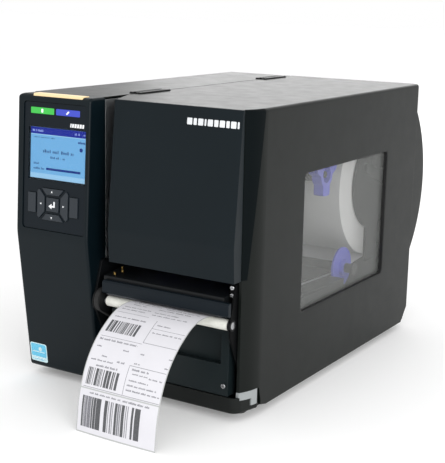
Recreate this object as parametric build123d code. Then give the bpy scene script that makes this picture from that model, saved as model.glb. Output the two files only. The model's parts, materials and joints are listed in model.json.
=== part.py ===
from build123d import *
import os
from math import acos, atan2, cos, degrees, hypot, radians, sin, sqrt

# Thermal label printer of the four-inch class: control column and electronics on the left,
# hinged media cover over the label roll and print mechanism on the right.
#
# Casing coordinates, millimetres: X from the left side wall to the right one, Y back from
# the top front edge of the control column, Z up from just under the base, FOOT_DROP above
# the table. export_piece() moves every piece to the part's origin, on the table under the
# middle of the overall box.

# ---------------------------------------------------------------- driving dimensions
WIDTH = 298.0          # over both side walls
HEIGHT = 330.0         # top panel above the casing's datum
FOOT_DROP = 6.0        # the datum's height above the table
DEPTH = 455.0          # column's front edge to the rear panels
BULGE_BACK = 498.0     # back of the roll bay's bulge
LABEL_FRONT = -98.0    # where the issued labels reach the table

WALL = 3.0             # moulded walls
SHEET = 1.5            # folded sheet
GAP = 0.3              # between neighbouring pieces
RUNNING = 0.06         # radial clearance of a shaft in its bearing
BASE_LOW = 4.0         # underside of the base above the datum

# Control column
COLUMN_WIDTH = 104.0
COLUMN_BACK = 26.0     # depth of the front fascia
KNEE_Z = 172.0         # the column's face leans forward down to here, then back
KNEE_OUT = 8.0
TOE_IN = 12.0

# Media cover
SEAM_X = 104.0         # hinge line between electronics cover and media cover
HINGE_Z = 329.4
COVER_LEFT = 104.8
COVER_FRONT_LEFT = 126.0
COVER_TOP_Y = 15.2     # front face at the top
COVER_KNEE_Y = 2.0
COVER_KNEE_Z = 187.0
COVER_LOW_Y = 4.0
COVER_LOW_Z = 151.0
CORNER_X = 289.5       # front end of the rounded corner, in plan
CORNER_Y = 18.5
CORNER_BACK = 50.0     # where the corner meets the side wall
COVER_BACK = 452.0
WINDOW_Y = (135.0, 361.0)
WINDOW_Z = (89.0, 252.0)
HINGE_SPANS = ((81.0, 141.0), (366.0, 423.0))

# Print mechanism
LABEL_WIDTH = 101.6    # four-inch stock
LABEL_LEFT = 160.2
LABEL_THICK = 0.25
PLATEN = (10.0, 104.0)
PLATEN_RADIUS = 6.0
HEAD_PIVOT = (95.0, 150.0)
LATCH_AXIS = (82.0, 172.0)
LEFT_PLATE = (104.3, 107.1)
RIGHT_PLATE = (283.0, 285.2)
MOTOR_AXIS = (72.0, 58.0)
BELT_X = (110.0, 116.0)

# Label supply and ribbon
ROLL_AXIS = (396.0, 203.0)
ROLL_RADIUS = 97.0     # an eight-inch roll with the first labels used
CORE_RADIUS = 38.0     # three-inch core
HANGER_RADIUS = 10.0
GUIDE_BAR = (306.0, 104.0)
GUIDE_BAR_RADIUS = 6.0
SUPPLY_AXIS = (246.0, 232.0)
TAKE_UP_AXIS = (120.0, 240.0)

# Values that follow from the ones above
ORIGIN_X = WIDTH / 2
ORIGIN_Y = (BULGE_BACK + LABEL_FRONT) / 2
LABEL_RIGHT = LABEL_LEFT + LABEL_WIDTH
COVER_INSIDE = WIDTH - WALL
HANGER_Z = ROLL_AXIS[1] + CORE_RADIUS - HANGER_RADIUS - GAP
CORNER_SET_IN = WIDTH - CORNER_X
CORNER_RUN = CORNER_BACK - CORNER_Y
CORNER_RADIUS = (CORNER_SET_IN ** 2 + CORNER_RUN ** 2) / (2 * CORNER_SET_IN)
FACE_TILT = atan2(KNEE_OUT, HEIGHT - KNEE_Z)

# Face of the control column: u across, v up along the face from the knee, w outward
PANEL = Plane(origin=(0, -KNEE_OUT, KNEE_Z), x_dir=(1, 0, 0), z_dir=(0, -cos(FACE_TILT), sin(FACE_TILT)))


# ---------------------------------------------------------------- shape helpers
def block(x0, x1, y0, y1, z0, z1):
    """Box between two corners."""
    return Pos((x0 + x1) / 2, (y0 + y1) / 2, (z0 + z1) / 2) * Box(x1 - x0, y1 - y0, z1 - z0)


def rod_x(radius, x0, x1, axis):
    """Round bar along X through (y, z) = axis."""
    return Pos((x0 + x1) / 2, axis[0], axis[1]) * Rot(0, 90, 0) * Cylinder(radius, x1 - x0)


def rod_y(radius, y0, y1, x, z):
    """Round bar along Y."""
    return Pos(x, (y0 + y1) / 2, z) * Rot(90, 0, 0) * Cylinder(radius, y1 - y0)


def rod_z(radius, z0, z1, x, y):
    """Round bar along Z."""
    return Pos(x, y, (z0 + z1) / 2) * Cylinder(radius, z1 - z0)


def tube_x(outer, inner, x0, x1, axis):
    """Round tube along X."""
    return rod_x(outer, x0, x1, axis) - rod_x(inner, x0 - 1, x1 + 1, axis)


def outline(points, rounds=None):
    """Closed outline through the points; rounds gives the radius at a corner's index."""
    face = make_face(Polyline(*points, close=True))
    for corner, radius in (rounds or {}).items():
        vertex = face.vertices().sort_by_distance((*points[corner], 0))[0]
        face = fillet(vertex, radius)
    return face


def across(face, x0, x1):
    """Outline drawn in (y, z), carried along X."""
    return extrude(Plane(origin=(x0, 0, 0), x_dir=(0, 1, 0), z_dir=(1, 0, 0)) * face, x1 - x0)


def along(face, y0, y1):
    """Outline drawn in (x, z), carried along Y."""
    return extrude(Plane(origin=(0, y1, 0), x_dir=(1, 0, 0), z_dir=(0, -1, 0)) * face, y1 - y0)


def upright(face, z0, z1):
    """Outline drawn in (x, y), carried up Z."""
    return extrude(Pos(0, 0, z0) * face, z1 - z0)


def panel_prism(face, w0, w1):
    """Outline drawn in (u, v) on the column's face, carried outward from w0 to w1."""
    return extrude(PANEL * (Pos(0, 0, w0) * face), w1 - w0)


def rectangle(u0, u1, v0, v1, radius=0.0):
    """Rectangle between two corners, rounded if a radius is given."""
    centre = Pos((u0 + u1) / 2, (v0 + v1) / 2)
    if radius:
        return centre * RectangleRounded(u1 - u0, v1 - v0, radius)
    return centre * Rectangle(u1 - u0, v1 - v0)


def group(*solids):
    """Separate solids that share one node."""
    return Compound([solid for shape in solids for solid in shape.solids()])


# ---------------------------------------------------------------- outlines used twice
# Keys of the control column: outlines in (u, v)
PAD_U = 53.7
PAD_V = 35.7
KEY_CLEARANCE = 0.35


def mirrored_u(points):
    return [(2 * PAD_U - u, v) for u, v in points]


def mirrored_v(points):
    return [(u, 2 * PAD_V - v) for u, v in points]


UP_KEY = [(37.2, 54.2), (70.2, 54.2), (62.9, 46.1), (44.5, 46.1)]
LEFT_KEY = [(31.2, 21.2), (31.2, 50.2), (34.2, 52.9), (42.3, 44.3), (42.3, 27.1), (34.2, 18.5)]
ENTER_KEY = [(44.6, 27.5), (62.8, 27.5), (62.8, 43.9), (44.6, 43.9)]
SOFT_KEY = [(17.3, 24.2), (29.2, 24.2), (29.2, 47.6), (17.3, 47.6)]
KEYS = {
    "key_up": UP_KEY,
    "key_down": mirrored_v(UP_KEY),
    "key_left": LEFT_KEY,
    "key_right": mirrored_u(LEFT_KEY),
    "key_enter": ENTER_KEY,
    "softkey_left": SOFT_KEY,
    "softkey_right": [(u + 60.9, v) for u, v in SOFT_KEY],
}
STATUS_WINDOWS = ((18.6, 52.6), (55.2, 89.4))
STATUS_V = (136.6, 143.8)
DISPLAY_WINDOW = (17.6, 97.2, 63.8, 121.6)
BEZEL_TOP = -1.2       # bezel's face, just behind the fascia's frame
BEZEL = (9.6, 100.0, 5.6, 149.6)


def corner_arc(inset):
    """Arc of the cover's front right corner in plan, from front to back, set in by a wall."""
    radius = CORNER_RADIUS - inset
    centre_x = WIDTH - CORNER_RADIUS
    front = (centre_x + sqrt(radius ** 2 - CORNER_RUN ** 2), CORNER_Y)
    half = CORNER_RUN / 2
    middle = (centre_x + sqrt(radius ** 2 - half ** 2), CORNER_BACK - half)
    return ThreePointArc(front, middle, (WIDTH - inset, CORNER_BACK))


def corner_strip(outer_inset, inner_inset, y0, y1, z0, z1):
    """Length of the rounded front right corner between two set-ins and two depths."""
    outer = corner_arc(outer_inset)
    inner = corner_arc(inner_inset)
    front = Line(inner @ 0, outer @ 0)
    back = Line(inner @ 1, outer @ 1)
    ring = upright(make_face([outer, inner, front, back]), z0, z1)
    return ring & block(250, WIDTH + 5, y0, y1, z0, z1)


def cover_front_outline(set_back, rounded=True):
    """Side view of the media cover's front, its face set back by the given amount."""
    back = 72.0
    points = [
        (COVER_TOP_Y + set_back, HEIGHT),
        (COVER_KNEE_Y + set_back, COVER_KNEE_Z),
        (COVER_LOW_Y + set_back, COVER_LOW_Z),
        (back, COVER_LOW_Z),
        (back, HEIGHT),
    ]
    return outline(points, {1: 40.0} if rounded else None)


def web_height(y):
    """Underside of the paper between the guide bar and the platen."""
    at_platen = PLATEN[1] + PLATEN_RADIUS + GAP
    at_bar = GUIDE_BAR[1] - GUIDE_BAR_RADIUS - GAP - LABEL_THICK
    return at_platen + (at_bar - at_platen) * (y - PLATEN[0]) / (GUIDE_BAR[0] - PLATEN[0])


# ---------------------------------------------------------------- base and frame
FOOT_PLACES = ((22.0, 48.0), (272.0, 48.0), (22.0, 430.0), (272.0, 430.0))
BASE_TOP = 22.0
BASE_FLOOR = 2.5


def base_tray():
    """Tray that everything stands on, with its rounded front right corner."""
    low = BASE_LOW
    points = [(2, 27), (104.6, 27), (104.6, 10.6), (CORNER_X - 0.5, 12.2), (297.0, 44.4), (293.4, 44.4),
              (293.4, 451.6), (2, 451.6)]
    body = upright(outline(points, {3: 12.0}), low, BASE_TOP)
    front_edges = body.edges().filter_by(
        lambda e: e.center().Z < low + 0.1 and e.center().Y < 50 and e.center().X > 106
    )
    body = fillet(front_edges, 2.5)
    hollow = [(4.5, 29.5), (107, 29.5), (107, 13.2), (286.0, 15), (290.6, 44.4), (290.6, 449), (4.5, 449)]
    body -= upright(outline(hollow), low + BASE_FLOOR, BASE_TOP + 1)
    body -= corner_strip(-2.0, 8.0, 14.0, 44.5, 18.2, BASE_TOP + 1)
    body -= corner_strip(-2.0, 8.0, 33.5, 44.5, 9.8, BASE_TOP + 1)
    for x, y in FOOT_PLACES:
        body -= rod_z(3.8, 0, 10, x, y)
    return body


def feet():
    """Push-in rubber feet."""
    solids = []
    for x, y in FOOT_PLACES:
        pad = rod_z(9, -FOOT_DROP, BASE_LOW - 0.1, x, y)
        pad = chamfer(pad.edges().sort_by(Axis.Z)[0], 1.2)
        neck = rod_z(3.6, 3.0, 7.4, x, y)
        head = Pos(x, y, 7.6) * Cone(5.2, 3.4, 1.8)
        solids.append(pad + neck + head)
    return group(*solids)


def centre_wall():
    """Main frame plate between electronics and label side, with its shaft bosses."""
    wall = block(SEAM_X - WALL, SEAM_X, COLUMN_BACK + 0.5, COVER_BACK - 0.5, 6.8, 327)
    wall += block(82, SEAM_X - 1, COLUMN_BACK + 6, COVER_BACK - 8, 6.8, 9.0)
    wall -= block(80, SEAM_X + 1, 20, 30, 0, BASE_TOP + 0.6)
    wall -= block(80, SEAM_X + 1, 448.6, 460, 0, BASE_TOP + 0.6)
    for axis in (HEAD_PIVOT, LATCH_AXIS):
        wall -= rod_x(6, 90, SEAM_X + 1, axis)
    for axis in (SUPPLY_AXIS, TAKE_UP_AXIS):
        wall += rod_x(11, 84, SEAM_X - 1, axis)
        wall -= rod_x(4 + RUNNING, 80, SEAM_X + 1, axis)
    wall -= rod_x(9, 90, SEAM_X + 1, MOTOR_AXIS)
    cable_slot = rectangle(332, 364, 144, 168, 8)
    return wall - across(cable_slot, 90, SEAM_X + 1)


def electronics_cover():
    """Folded sheet over the top and left side, with cooling slots."""
    low = BASE_LOW + 2.8
    inside = HEIGHT - SHEET
    sheet = outline(
        [(0, low), (0, HEIGHT), (103, HEIGHT), (103, inside), (SHEET, inside), (SHEET, low)],
        {1: 4.5, 4: 3.0},
    )
    body = along(sheet, COLUMN_BACK + GAP, COVER_BACK)
    for front, back in HINGE_SPANS:
        body -= block(100.6, 104, front - 0.6, back + 0.6, 325, 331)
    for row in range(12):
        low = 46.0 + 9.0 * row
        slot = rectangle(300, 392, low, low + 3.2, 1.5)
        body -= across(slot, -1, 3)
    return body


REAR_HOLES = {
    "inlet": (17.0, 51.5, 91.0, 113.0),
    "switch": (60.4, 78.0, 91.0, 113.0),
    "network": (20.0, 36.4, 146.0, 160.0),
    "usb": (46.0, 58.6, 146.0, 157.6),
    "serial": (66.0, 97.0, 146.0, 158.8),
}


FAN_CENTRE = (52.0, 236.0)


def rear_panel():
    """Sheet behind the electronics, with the sockets' cut-outs and a fan grille."""
    body = block(1.9, 103.0, DEPTH - 2, DEPTH, 6.8, 328)
    for x0, x1, z0, z1 in REAR_HOLES.values():
        body -= block(x0 - GAP, x1 + GAP, DEPTH - 4, DEPTH + 2, z0 - GAP, z1 + GAP)
    for ring_radius, count in ((8, 6), (16, 12), (24, 18)):
        for step in range(count):
            turn = radians(360 * step / count)
            x = FAN_CENTRE[0] + ring_radius * cos(turn)
            z = FAN_CENTRE[1] + ring_radius * sin(turn)
            body -= rod_y(2.4, DEPTH - 4, DEPTH + 2, x, z)
    return body


def bulge_outline(set_in):
    """Side view of the bulge that clears the label roll."""
    radius = 151.0 - set_in
    centre_y = BULGE_BACK - 151.0
    centre_z = 197.0
    front = DEPTH - 2.5
    half = sqrt(radius ** 2 - (front - centre_y) ** 2)
    arc = ThreePointArc(
        (front, centre_z - half), (centre_y + radius, centre_z), (front, centre_z + half)
    )
    return make_face([arc, Line(arc @ 1, arc @ 0)])


def roll_bay_cover():
    """Fixed rear shell of the label side, bulged where the roll sits."""
    left = SEAM_X
    right = WIDTH - 5.0
    back_view = outline([(left, 6.8), (right, 6.8), (right, HEIGHT), (left, HEIGHT)], {2: 4})
    body = along(back_view, DEPTH - 2.5, DEPTH) + across(bulge_outline(0), left, right)
    body -= across(bulge_outline(2.5), left + 2.5, right - 2.5)
    opening = rectangle(left + 2.5, right - 2.5, 197 - 104, 197 + 104)
    return body - along(opening, DEPTH - 6, DEPTH - 2.4)


# ---------------------------------------------------------------- control column
def front_fascia():
    """Moulded shell at the front of the control column."""
    side_view = [(COLUMN_BACK, 4), (TOE_IN, 4), (-KNEE_OUT, KNEE_Z), (0, HEIGHT), (COLUMN_BACK, HEIGHT)]
    body = across(outline(side_view, {1: 4, 2: 60, 3: 6}), 0, COLUMN_WIDTH)
    side_edges = body.edges().filter_by(
        lambda e: min(e.center().X, COLUMN_WIDTH - e.center().X) < 0.01
        and e.center().Y < 14
        and e.center().Z > 5
    )
    body = fillet(side_edges, 3.0)
    front_view = [(0, 4), (COLUMN_WIDTH, 4), (COLUMN_WIDTH, HEIGHT), (0, HEIGHT)]
    body &= along(outline(front_view, {0: 2, 2: 3, 3: 8}), -20, 40)
    inside = [(40, 7), (TOE_IN + 3.2, 7), (3.1 - KNEE_OUT, KNEE_Z), (3.1, 327), (40, 327)]
    body -= across(outline(inside), WALL, COLUMN_WIDTH - WALL)
    u0, u1, v0, v1 = BEZEL
    body -= panel_prism(rectangle(u0 - 0.4, u1 + 0.4, v0 - 0.4, v1 + 0.4, 4), -8, 8)
    body -= block(LIGHT_BAR[0] - GAP, LIGHT_BAR[1] + GAP, 1.5 - GAP, 13.5 + GAP, 320, 335)
    return body


LIGHT_BAR = (22.0, 92.0)


def light_bar():
    """Diffuser of the status light along the column's top front edge."""
    body = block(*LIGHT_BAR, 1.5, 13.5, 326.6, 331.0)
    body = fillet(body.edges().filter_by(Axis.X).group_by(Axis.Z)[-1], 1.6)
    return body + block(LIGHT_BAR[0] + 4, LIGHT_BAR[1] - 4, 3.5, 16.5, 324.8, 326.7)


def control_bezel():
    """Face plate of the control panel, with the windows for display, lights and keys."""
    u0, u1, v0, v1 = BEZEL
    body = panel_prism(rectangle(u0, u1, v0, v1, 3.6), -4.2, BEZEL_TOP)
    body += panel_prism(rectangle(6, 100.6, 3, 152, 3), -5.6, -3.6)
    d0, d1, e0, e1 = DISPLAY_WINDOW
    body -= panel_prism(rectangle(d0 - 1.6, d1 + 1.6, e0 - 1.6, e1 + 1.6, 1.5), BEZEL_TOP - 1.3, 3)
    body -= panel_prism(rectangle(d0, d1, e0, e1), -8, 3)
    for w0, w1 in STATUS_WINDOWS:
        body -= panel_prism(rectangle(w0, w1, *STATUS_V, 0.8), -8, 3)
    for points in KEYS.values():
        body -= panel_prism(outline(points), -8, 3)
    return body


def display_lens():
    """Clear window over the display."""
    d0, d1, e0, e1 = DISPLAY_WINDOW
    edge = 1.5
    face = rectangle(d0 - edge, d1 + edge, e0 - edge, e1 + edge, 1.4)
    return panel_prism(face, BEZEL_TOP - 1.2, BEZEL_TOP)


def display_module():
    """Display with the board that also carries the key contacts."""
    d0, d1, e0, e1 = DISPLAY_WINDOW
    body = panel_prism(rectangle(d0 - 1.5, d1 + 1.5, e0 - 2, e1 + 2), -9.6, -6.0)
    body += panel_prism(rectangle(8, 98, 8, 148), -11.2, -9.5)
    for points in KEYS.values():
        u = sum(point[0] for point in points) / len(points)
        v = sum(point[1] for point in points) / len(points)
        body += panel_prism(rectangle(u - 1.8, u + 1.8, v - 1.8, v + 1.8), -9.6, -9.0)
    body += panel_prism(rectangle(30, 60, 96, 104), -15.5, -11.1)
    return body


def status_lenses():
    """The two coloured status windows."""
    solids = []
    for w0, w1 in STATUS_WINDOWS:
        face = rectangle(w0 + 0.15, w1 - 0.15, STATUS_V[0] + 0.15, STATUS_V[1] - 0.15, 0.7)
        solids.append(panel_prism(face, -7.6, BEZEL_TOP + 0.3))
    return group(*solids)


def key(points):
    """One key: a cap that stands proud of the bezel, dished edges, on its plunger."""
    cap = offset(outline(points), -KEY_CLEARANCE)
    body = panel_prism(cap, -7.6, 0.5)
    top = body.faces().sort_by(lambda f: PANEL.to_local_coords(f.center()).Z)[-1]
    return fillet(top.edges(), 0.6)


# ---------------------------------------------------------------- electronics and drive
def main_board():
    """Printer board on four posts, with its larger parts."""
    body = block(86.4, 88.0, 150, 330, 60, 205)
    for y, z in ((156, 66), (324, 66), (156, 199), (324, 199)):
        body += rod_x(3, 87, SEAM_X - WALL, (y, z))
    body += block(76, 86.5, 200, 240, 110, 150)
    for fin in range(6):
        body += block(68, 77, 201 + 7 * fin, 203 + 7 * fin, 111, 149)
    for y in (262, 280, 298):
        body += rod_x(7, 66, 86.5, (y, 92))
    body += block(80, 86.5, 165, 185, 75, 190)
    return body + block(82, 86.5, 250, 310, 150, 180)


def power_supply():
    """Enclosed mains supply on the base."""
    body = block(8, 80, 336, 440, 9, 66)
    body = fillet(body.edges().filter_by(Axis.Y), 2)
    body -= block(9.2, 78.8, 337.2, 438.8, 18, 64.8)
    for slot in range(9):
        y = 348 + 10 * slot
        body -= block(18, 70, y, y + 4, 62, 67)
    return body


def power_inlet():
    """Mains inlet and switch housing in one flanged module behind the rear panel."""
    x0, x1, z0, z1 = REAR_HOLES["inlet"]
    s0, s1, _, _ = REAR_HOLES["switch"]
    body = along(rectangle(13.5, 82, 87.5, 116.5, 3), DEPTH, DEPTH + 2.2)
    body += block(x0, x1, DEPTH - 24, DEPTH + 1, z0, z1)
    body += block(s0, s1, DEPTH - 20, DEPTH + 1, z0, z1)
    middle = (x0 + x1) / 2
    level = (z0 + z1) / 2
    socket = [(-12, -8), (12, -8), (12, 4), (8, 8), (-8, 8), (-12, 4)]
    body -= along(outline([(middle + x, level + z) for x, z in socket]), DEPTH - 17, DEPTH + 5)
    for x, z in ((-7, -3.2), (0, 1.2), (7, -3.2)):
        body += block(middle + x - 1, middle + x + 1, DEPTH - 18, DEPTH - 4, level + z - 2, level + z + 2)
    body -= block(s0 + 1.4, s1 - 1.4, DEPTH - 16, DEPTH + 5, level - 10.8, level + 10.8)
    return body


SWITCH_PIVOT = (DEPTH - 3.0, 102.0)
SWITCH_THROW = 8.0


def power_switch():
    """Rocker, with its upper end pressed in at rest."""
    s0, s1, _, _ = REAR_HOLES["switch"]
    reach = 7.4
    slope = sin(radians(SWITCH_THROW))
    face = outline([(-6, -12), (reach - 12 * slope, -12), (reach, 0), (reach - 12 * slope, 12), (-6, 12)])
    profile = Rot(0, 0, SWITCH_THROW) * (face & Circle(10.5))
    return across(Pos(*SWITCH_PIVOT) * profile, s0 + 1.7, s1 - 1.7)


def io_ports():
    """Network, USB and serial sockets."""
    solids = []
    for name, depth in (("network", 18), ("usb", 16), ("serial", 12)):
        x0, x1, z0, z1 = REAR_HOLES[name]
        solids.append(block(x0, x1, DEPTH - depth, DEPTH + 0.6, z0, z1))
    x0, x1, z0, z1 = REAR_HOLES["network"]
    solids[0] -= block(x0 + 2, x1 - 2, DEPTH - 14, DEPTH + 2, z0 + 3, z1 - 2)
    x0, x1, z0, z1 = REAR_HOLES["usb"]
    cavity = block(x0 + 1.8, x1 - 1.8, DEPTH - 3.4, DEPTH + 2, z0 + 1.8, z1 - 1.8)
    tongue = block(x0 + 3.6, x1 - 3.6, DEPTH - 4, DEPTH, z0 + 4.2, z1 - 4.2)
    solids[1] = solids[1] - cavity + tongue
    x0, x1, z0, z1 = REAR_HOLES["serial"]
    shell = rectangle(x0 + 5.5, x1 - 5.5, z0 + 2, z1 - 2, 3)
    solids[2] += along(shell, DEPTH, DEPTH + 4.5)
    solids[2] -= along(offset(shell, -0.8), DEPTH + 1, DEPTH + 5)
    for screw_x in (x0 + 3, x1 - 3):
        solids[2] += rod_y(2, DEPTH, DEPTH + 3.5, screw_x, (z0 + z1) / 2)
    return group(*solids)


def drive_motor():
    """Stepper motor bolted to the frame plate, its nose through the plate."""
    y, z = MOTOR_AXIS
    half = 28.2
    body = across(rectangle(y - half, y + half, z - half, z + half, 5), 44, 100.8)
    body += rod_x(8.6, 100, 103.2, MOTOR_AXIS)
    body -= tube_x(60, 27, 54, 90, MOTOR_AXIS) & across(rectangle(y - 25, y + 25, z - 40, z + 40), 54, 90)
    return body - rod_x(3.2 + GAP, 90, 110, MOTOR_AXIS)


def belt_pulley(radius, axis):
    """Flanged belt pulley, grooved across its face."""
    left, right = BELT_X
    body = rod_x(radius, left - 0.6, right + 0.6, axis)
    for x in (left - 1.6, right + 0.6):
        body += rod_x(radius + 1.9, x, x + 1.0, axis)
    count = int(radius * 2)
    for step in range(count):
        turn = radians(360 * step / count)
        groove = (axis[0] + (radius + 0.1) * cos(turn), axis[1] + (radius + 0.1) * sin(turn))
        body -= rod_x(0.6, left - 0.55, right + 0.55, groove)
    return body


PLATEN_PULLEY_RADIUS = 12.0
MOTOR_PULLEY_RADIUS = 6.0


def motor_pulley():
    """Motor shaft and its small pulley."""
    return belt_pulley(MOTOR_PULLEY_RADIUS, MOTOR_AXIS) + rod_x(3.2, 92, 118, MOTOR_AXIS)


def platen_pulley():
    """Large pulley on the platen's left end."""
    return belt_pulley(PLATEN_PULLEY_RADIUS, PLATEN) - rod_x(4.02, 100, 120, PLATEN)


def belt_loop(set_out):
    """Side view of a belt's path, set out from both pulleys."""
    dy = MOTOR_AXIS[0] - PLATEN[0]
    dz = MOTOR_AXIS[1] - PLATEN[1]
    length = hypot(dy, dz)
    big = PLATEN_PULLEY_RADIUS + set_out
    small = MOTOR_PULLEY_RADIUS + set_out
    lean = (big - small) / length
    rise = sqrt(1 - lean ** 2)
    flank = [(big * lean, big * rise), (length + small * lean, small * rise)]
    body = make_face(Polyline(*flank, *[(x, -y) for x, y in reversed(flank)], close=True))
    body = body + Circle(big) + Pos(length, 0) * Circle(small)
    return Pos(*PLATEN) * Rot(0, 0, degrees(atan2(dz, dy))) * body


def drive_belt():
    """Belt from motor to platen."""
    left, right = BELT_X
    return across(belt_loop(GAP + 1.3), left, right) - across(belt_loop(GAP), left - 1, right + 1)


def ribbon_motors():
    """Geared motors behind the two ribbon spindles."""
    solids = []
    for axis in (SUPPLY_AXIS, TAKE_UP_AXIS):
        body = rod_x(15, 34, 66, axis) + rod_x(18, 66, 82, axis)
        body += rod_x(5, 30, 34, axis)
        solids.append(body - rod_x(4 + GAP, 68, 84, axis))
    return group(*solids)


# ---------------------------------------------------------------- label side, fixed
def lower_front_panel():
    """Panel under the label exit, with a shallow pocket."""
    left, right = 121.0, 278.0
    top, low = 95.6, 22.6
    body = across(outline([(16, top), (13.4, low), (28, low), (28, top)], {0: 1.5}), left, right)
    hollow = [(19, top - 3), (16.4, low + 3), (30, low + 3), (30, top - 3)]
    body -= across(outline(hollow), left + 3, right - 3)
    body += block(134, 271, 16.2, 25, 54.0, top)
    body -= rod_y(1.45, 10, 20, *PANEL_SCREW)
    return body - block(137, 268, 10, 22.5, 57.0, 93.0)


def side_plate(x0, x1):
    """One cheek of the print mechanism."""
    shape = outline(
        [(5, 92), (5, 112), (16, 148), (74, 148), (74, 184), (96, 184), (112, 162), (132, 150),
         (132, 26), (36, 26)],
        {2: 4, 4: 6, 5: 6, 7: 4, 9: 6},
    )
    body = across(shape, x0, x1)
    for axis in (HEAD_PIVOT, LATCH_AXIS):
        body -= rod_x(4 + RUNNING, x0 - 1, x1 + 1, axis)
    return body - rod_x(6.05, x0 - 1, x1 + 1, PLATEN)


def left_side_plate():
    return side_plate(*LEFT_PLATE) - rod_x(11, 100, 110, MOTOR_AXIS)


TAB_SCREWS = ((280.4, 143.5), (280.4, 135.0))
PANEL_SCREW = (273.0, 34.0)


def right_side_plate():
    """Outer cheek, with the turned tab that its screws go through."""
    body = side_plate(*RIGHT_PLATE)
    body += block(277.2, RIGHT_PLATE[1], 15.6, 17.4, 131, 147)
    for x, z in TAB_SCREWS:
        body -= rod_y(1.35, 15, 18, x, z)
    return body


def platen_bearings():
    """Flanged bushes that carry the platen."""
    left = tube_x(6.0, 4 + RUNNING, LEFT_PLATE[0], LEFT_PLATE[1], PLATEN)
    left += tube_x(6.9, 4 + RUNNING, LEFT_PLATE[1], LEFT_PLATE[1] + 0.9, PLATEN)
    right = tube_x(6.0, 4 + RUNNING, RIGHT_PLATE[0], RIGHT_PLATE[1], PLATEN)
    right += tube_x(7.2, 4 + RUNNING, RIGHT_PLATE[0] - 1.2, RIGHT_PLATE[0], PLATEN)
    return group(left, right)


def media_deck():
    """Plate that the paper slides over, with a folded rear bracket."""
    left, right = LEFT_PLATE[1] + 0.2, RIGHT_PLATE[0] - 0.2
    front, back = 22.0, 279.0
    top_front = web_height(front) - 1.0
    top_back = web_height(back) - 1.0
    plate = [(front, top_front), (back, top_back), (back, top_back - SHEET), (front, top_front - SHEET)]
    body = across(outline(plate), 119.5, right)
    body += block(right - SHEET, right, 134, back, 60, top_back - 0.5)
    body += block(119.5, 119.5 + SHEET, 134, back, 60, top_back - 0.5)
    body += block(240, right, 212, 250, 60, 61.5)
    tab = rectangle(212, 250, 60, 90, 5)
    body += across(tab, 262, 263.5) + block(262, right, 212, 250, 60, 61.5)
    return body + block(119.5, right, 134, 135.5, 60, web_height(134) - 1.5)


def sensor_plate():
    """Dark guide above the paper that carries the gap sensor."""
    front, back = 134.0, 288.0
    low_front = web_height(front) + 2.6
    low_back = web_height(back) + 2.6
    plate = [(front, low_front), (back, low_back), (back, low_back + 2), (front, low_front + 2)]
    body = across(outline(plate), SEAM_X + GAP, 262.5)
    body += block(198, 224, 140, 160, low_front, low_front + 12)
    return body + block(SEAM_X + GAP, SEAM_X + 2.3, front + 4, back - 4, low_back + 1, low_back + 26)


def media_hanger():
    """Bar that the roll's core hangs on, with the inner roll guide."""
    axis = (ROLL_AXIS[0], HANGER_Z)
    body = rod_x(24, SEAM_X + GAP, 108, axis)
    body += rod_x(HANGER_RADIUS, 104.5, 287, axis)
    body += rod_x(62, 156, 158.8, ROLL_AXIS)
    return body + rod_x(HANGER_RADIUS + 2.5, 285, 289, axis)


def web_guide_bar():
    """Bar that the paper passes under."""
    body = rod_x(16, SEAM_X + GAP, 107, GUIDE_BAR) + rod_x(GUIDE_BAR_RADIUS, 105, 282, GUIDE_BAR)
    return body + rod_x(GUIDE_BAR_RADIUS + 2, 281, 284, GUIDE_BAR)


def label_web():
    """Paper from the roll, under the guide bar, to the platen."""
    dy = ROLL_AXIS[0] - GUIDE_BAR[0]
    dz = ROLL_AXIS[1] - GUIDE_BAR[1]
    normal = atan2(dz, dy) - acos((GUIDE_BAR_RADIUS - ROLL_RADIUS) / hypot(dy, dz))
    reach = ROLL_RADIUS + GAP
    leave = (ROLL_AXIS[0] + reach * cos(normal), ROLL_AXIS[1] + reach * sin(normal))
    low = web_height(GUIDE_BAR[0])
    front = PLATEN[0] + 2
    points = [
        (front, web_height(front)),
        (GUIDE_BAR[0], low),
        (leave[0], leave[1] - LABEL_THICK),
        leave,
        (GUIDE_BAR[0], low + LABEL_THICK),
        (front, web_height(front) + LABEL_THICK),
    ]
    return across(outline(points), LABEL_LEFT, LABEL_RIGHT)


def label_strip():
    """Issued labels, arching from the platen to the table."""
    start = (PLATEN[0] + 1.8, PLATEN[1] + PLATEN_RADIUS + GAP)
    route = [start, (-22, 115.5), (-75, 80), (-93.5, 30), (LABEL_FRONT + 0.3, 0.15 - FOOT_DROP)]
    path = FilletPolyline(*route, radius=[60, 100, 110])
    facing = offset(path, LABEL_THICK, side=Side.RIGHT, closed=False)
    ends = [Line(path @ 0, facing @ 0), Line(path @ 1, facing @ 1)]
    return across(make_face([*path.edges(), *facing.edges(), *ends]), LABEL_LEFT, LABEL_RIGHT)


def cover_rest():
    """Light grey bumper at the bottom of the front right corner."""
    body = corner_strip(0.4, 3.4, 15.0, 43.5, 18.6, 27.4)
    return body + corner_strip(0.4, 3.4, 34.5, 43.5, 10.2, 27.4)


def screw_y(x, y, z, radius):
    """Pan-head screw whose head faces the front."""
    head = fillet(rod_y(radius, y - 1.8, y, x, z).edges().sort_by(Axis.Y)[0], 0.8)
    shank = rod_y(radius * 0.5, y - 0.1, y + 1.7, x, z)
    return head + shank - block(x - radius * 0.7, x + radius * 0.7, y - 2, y - 1.1, z - 0.35, z + 0.35)


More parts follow.
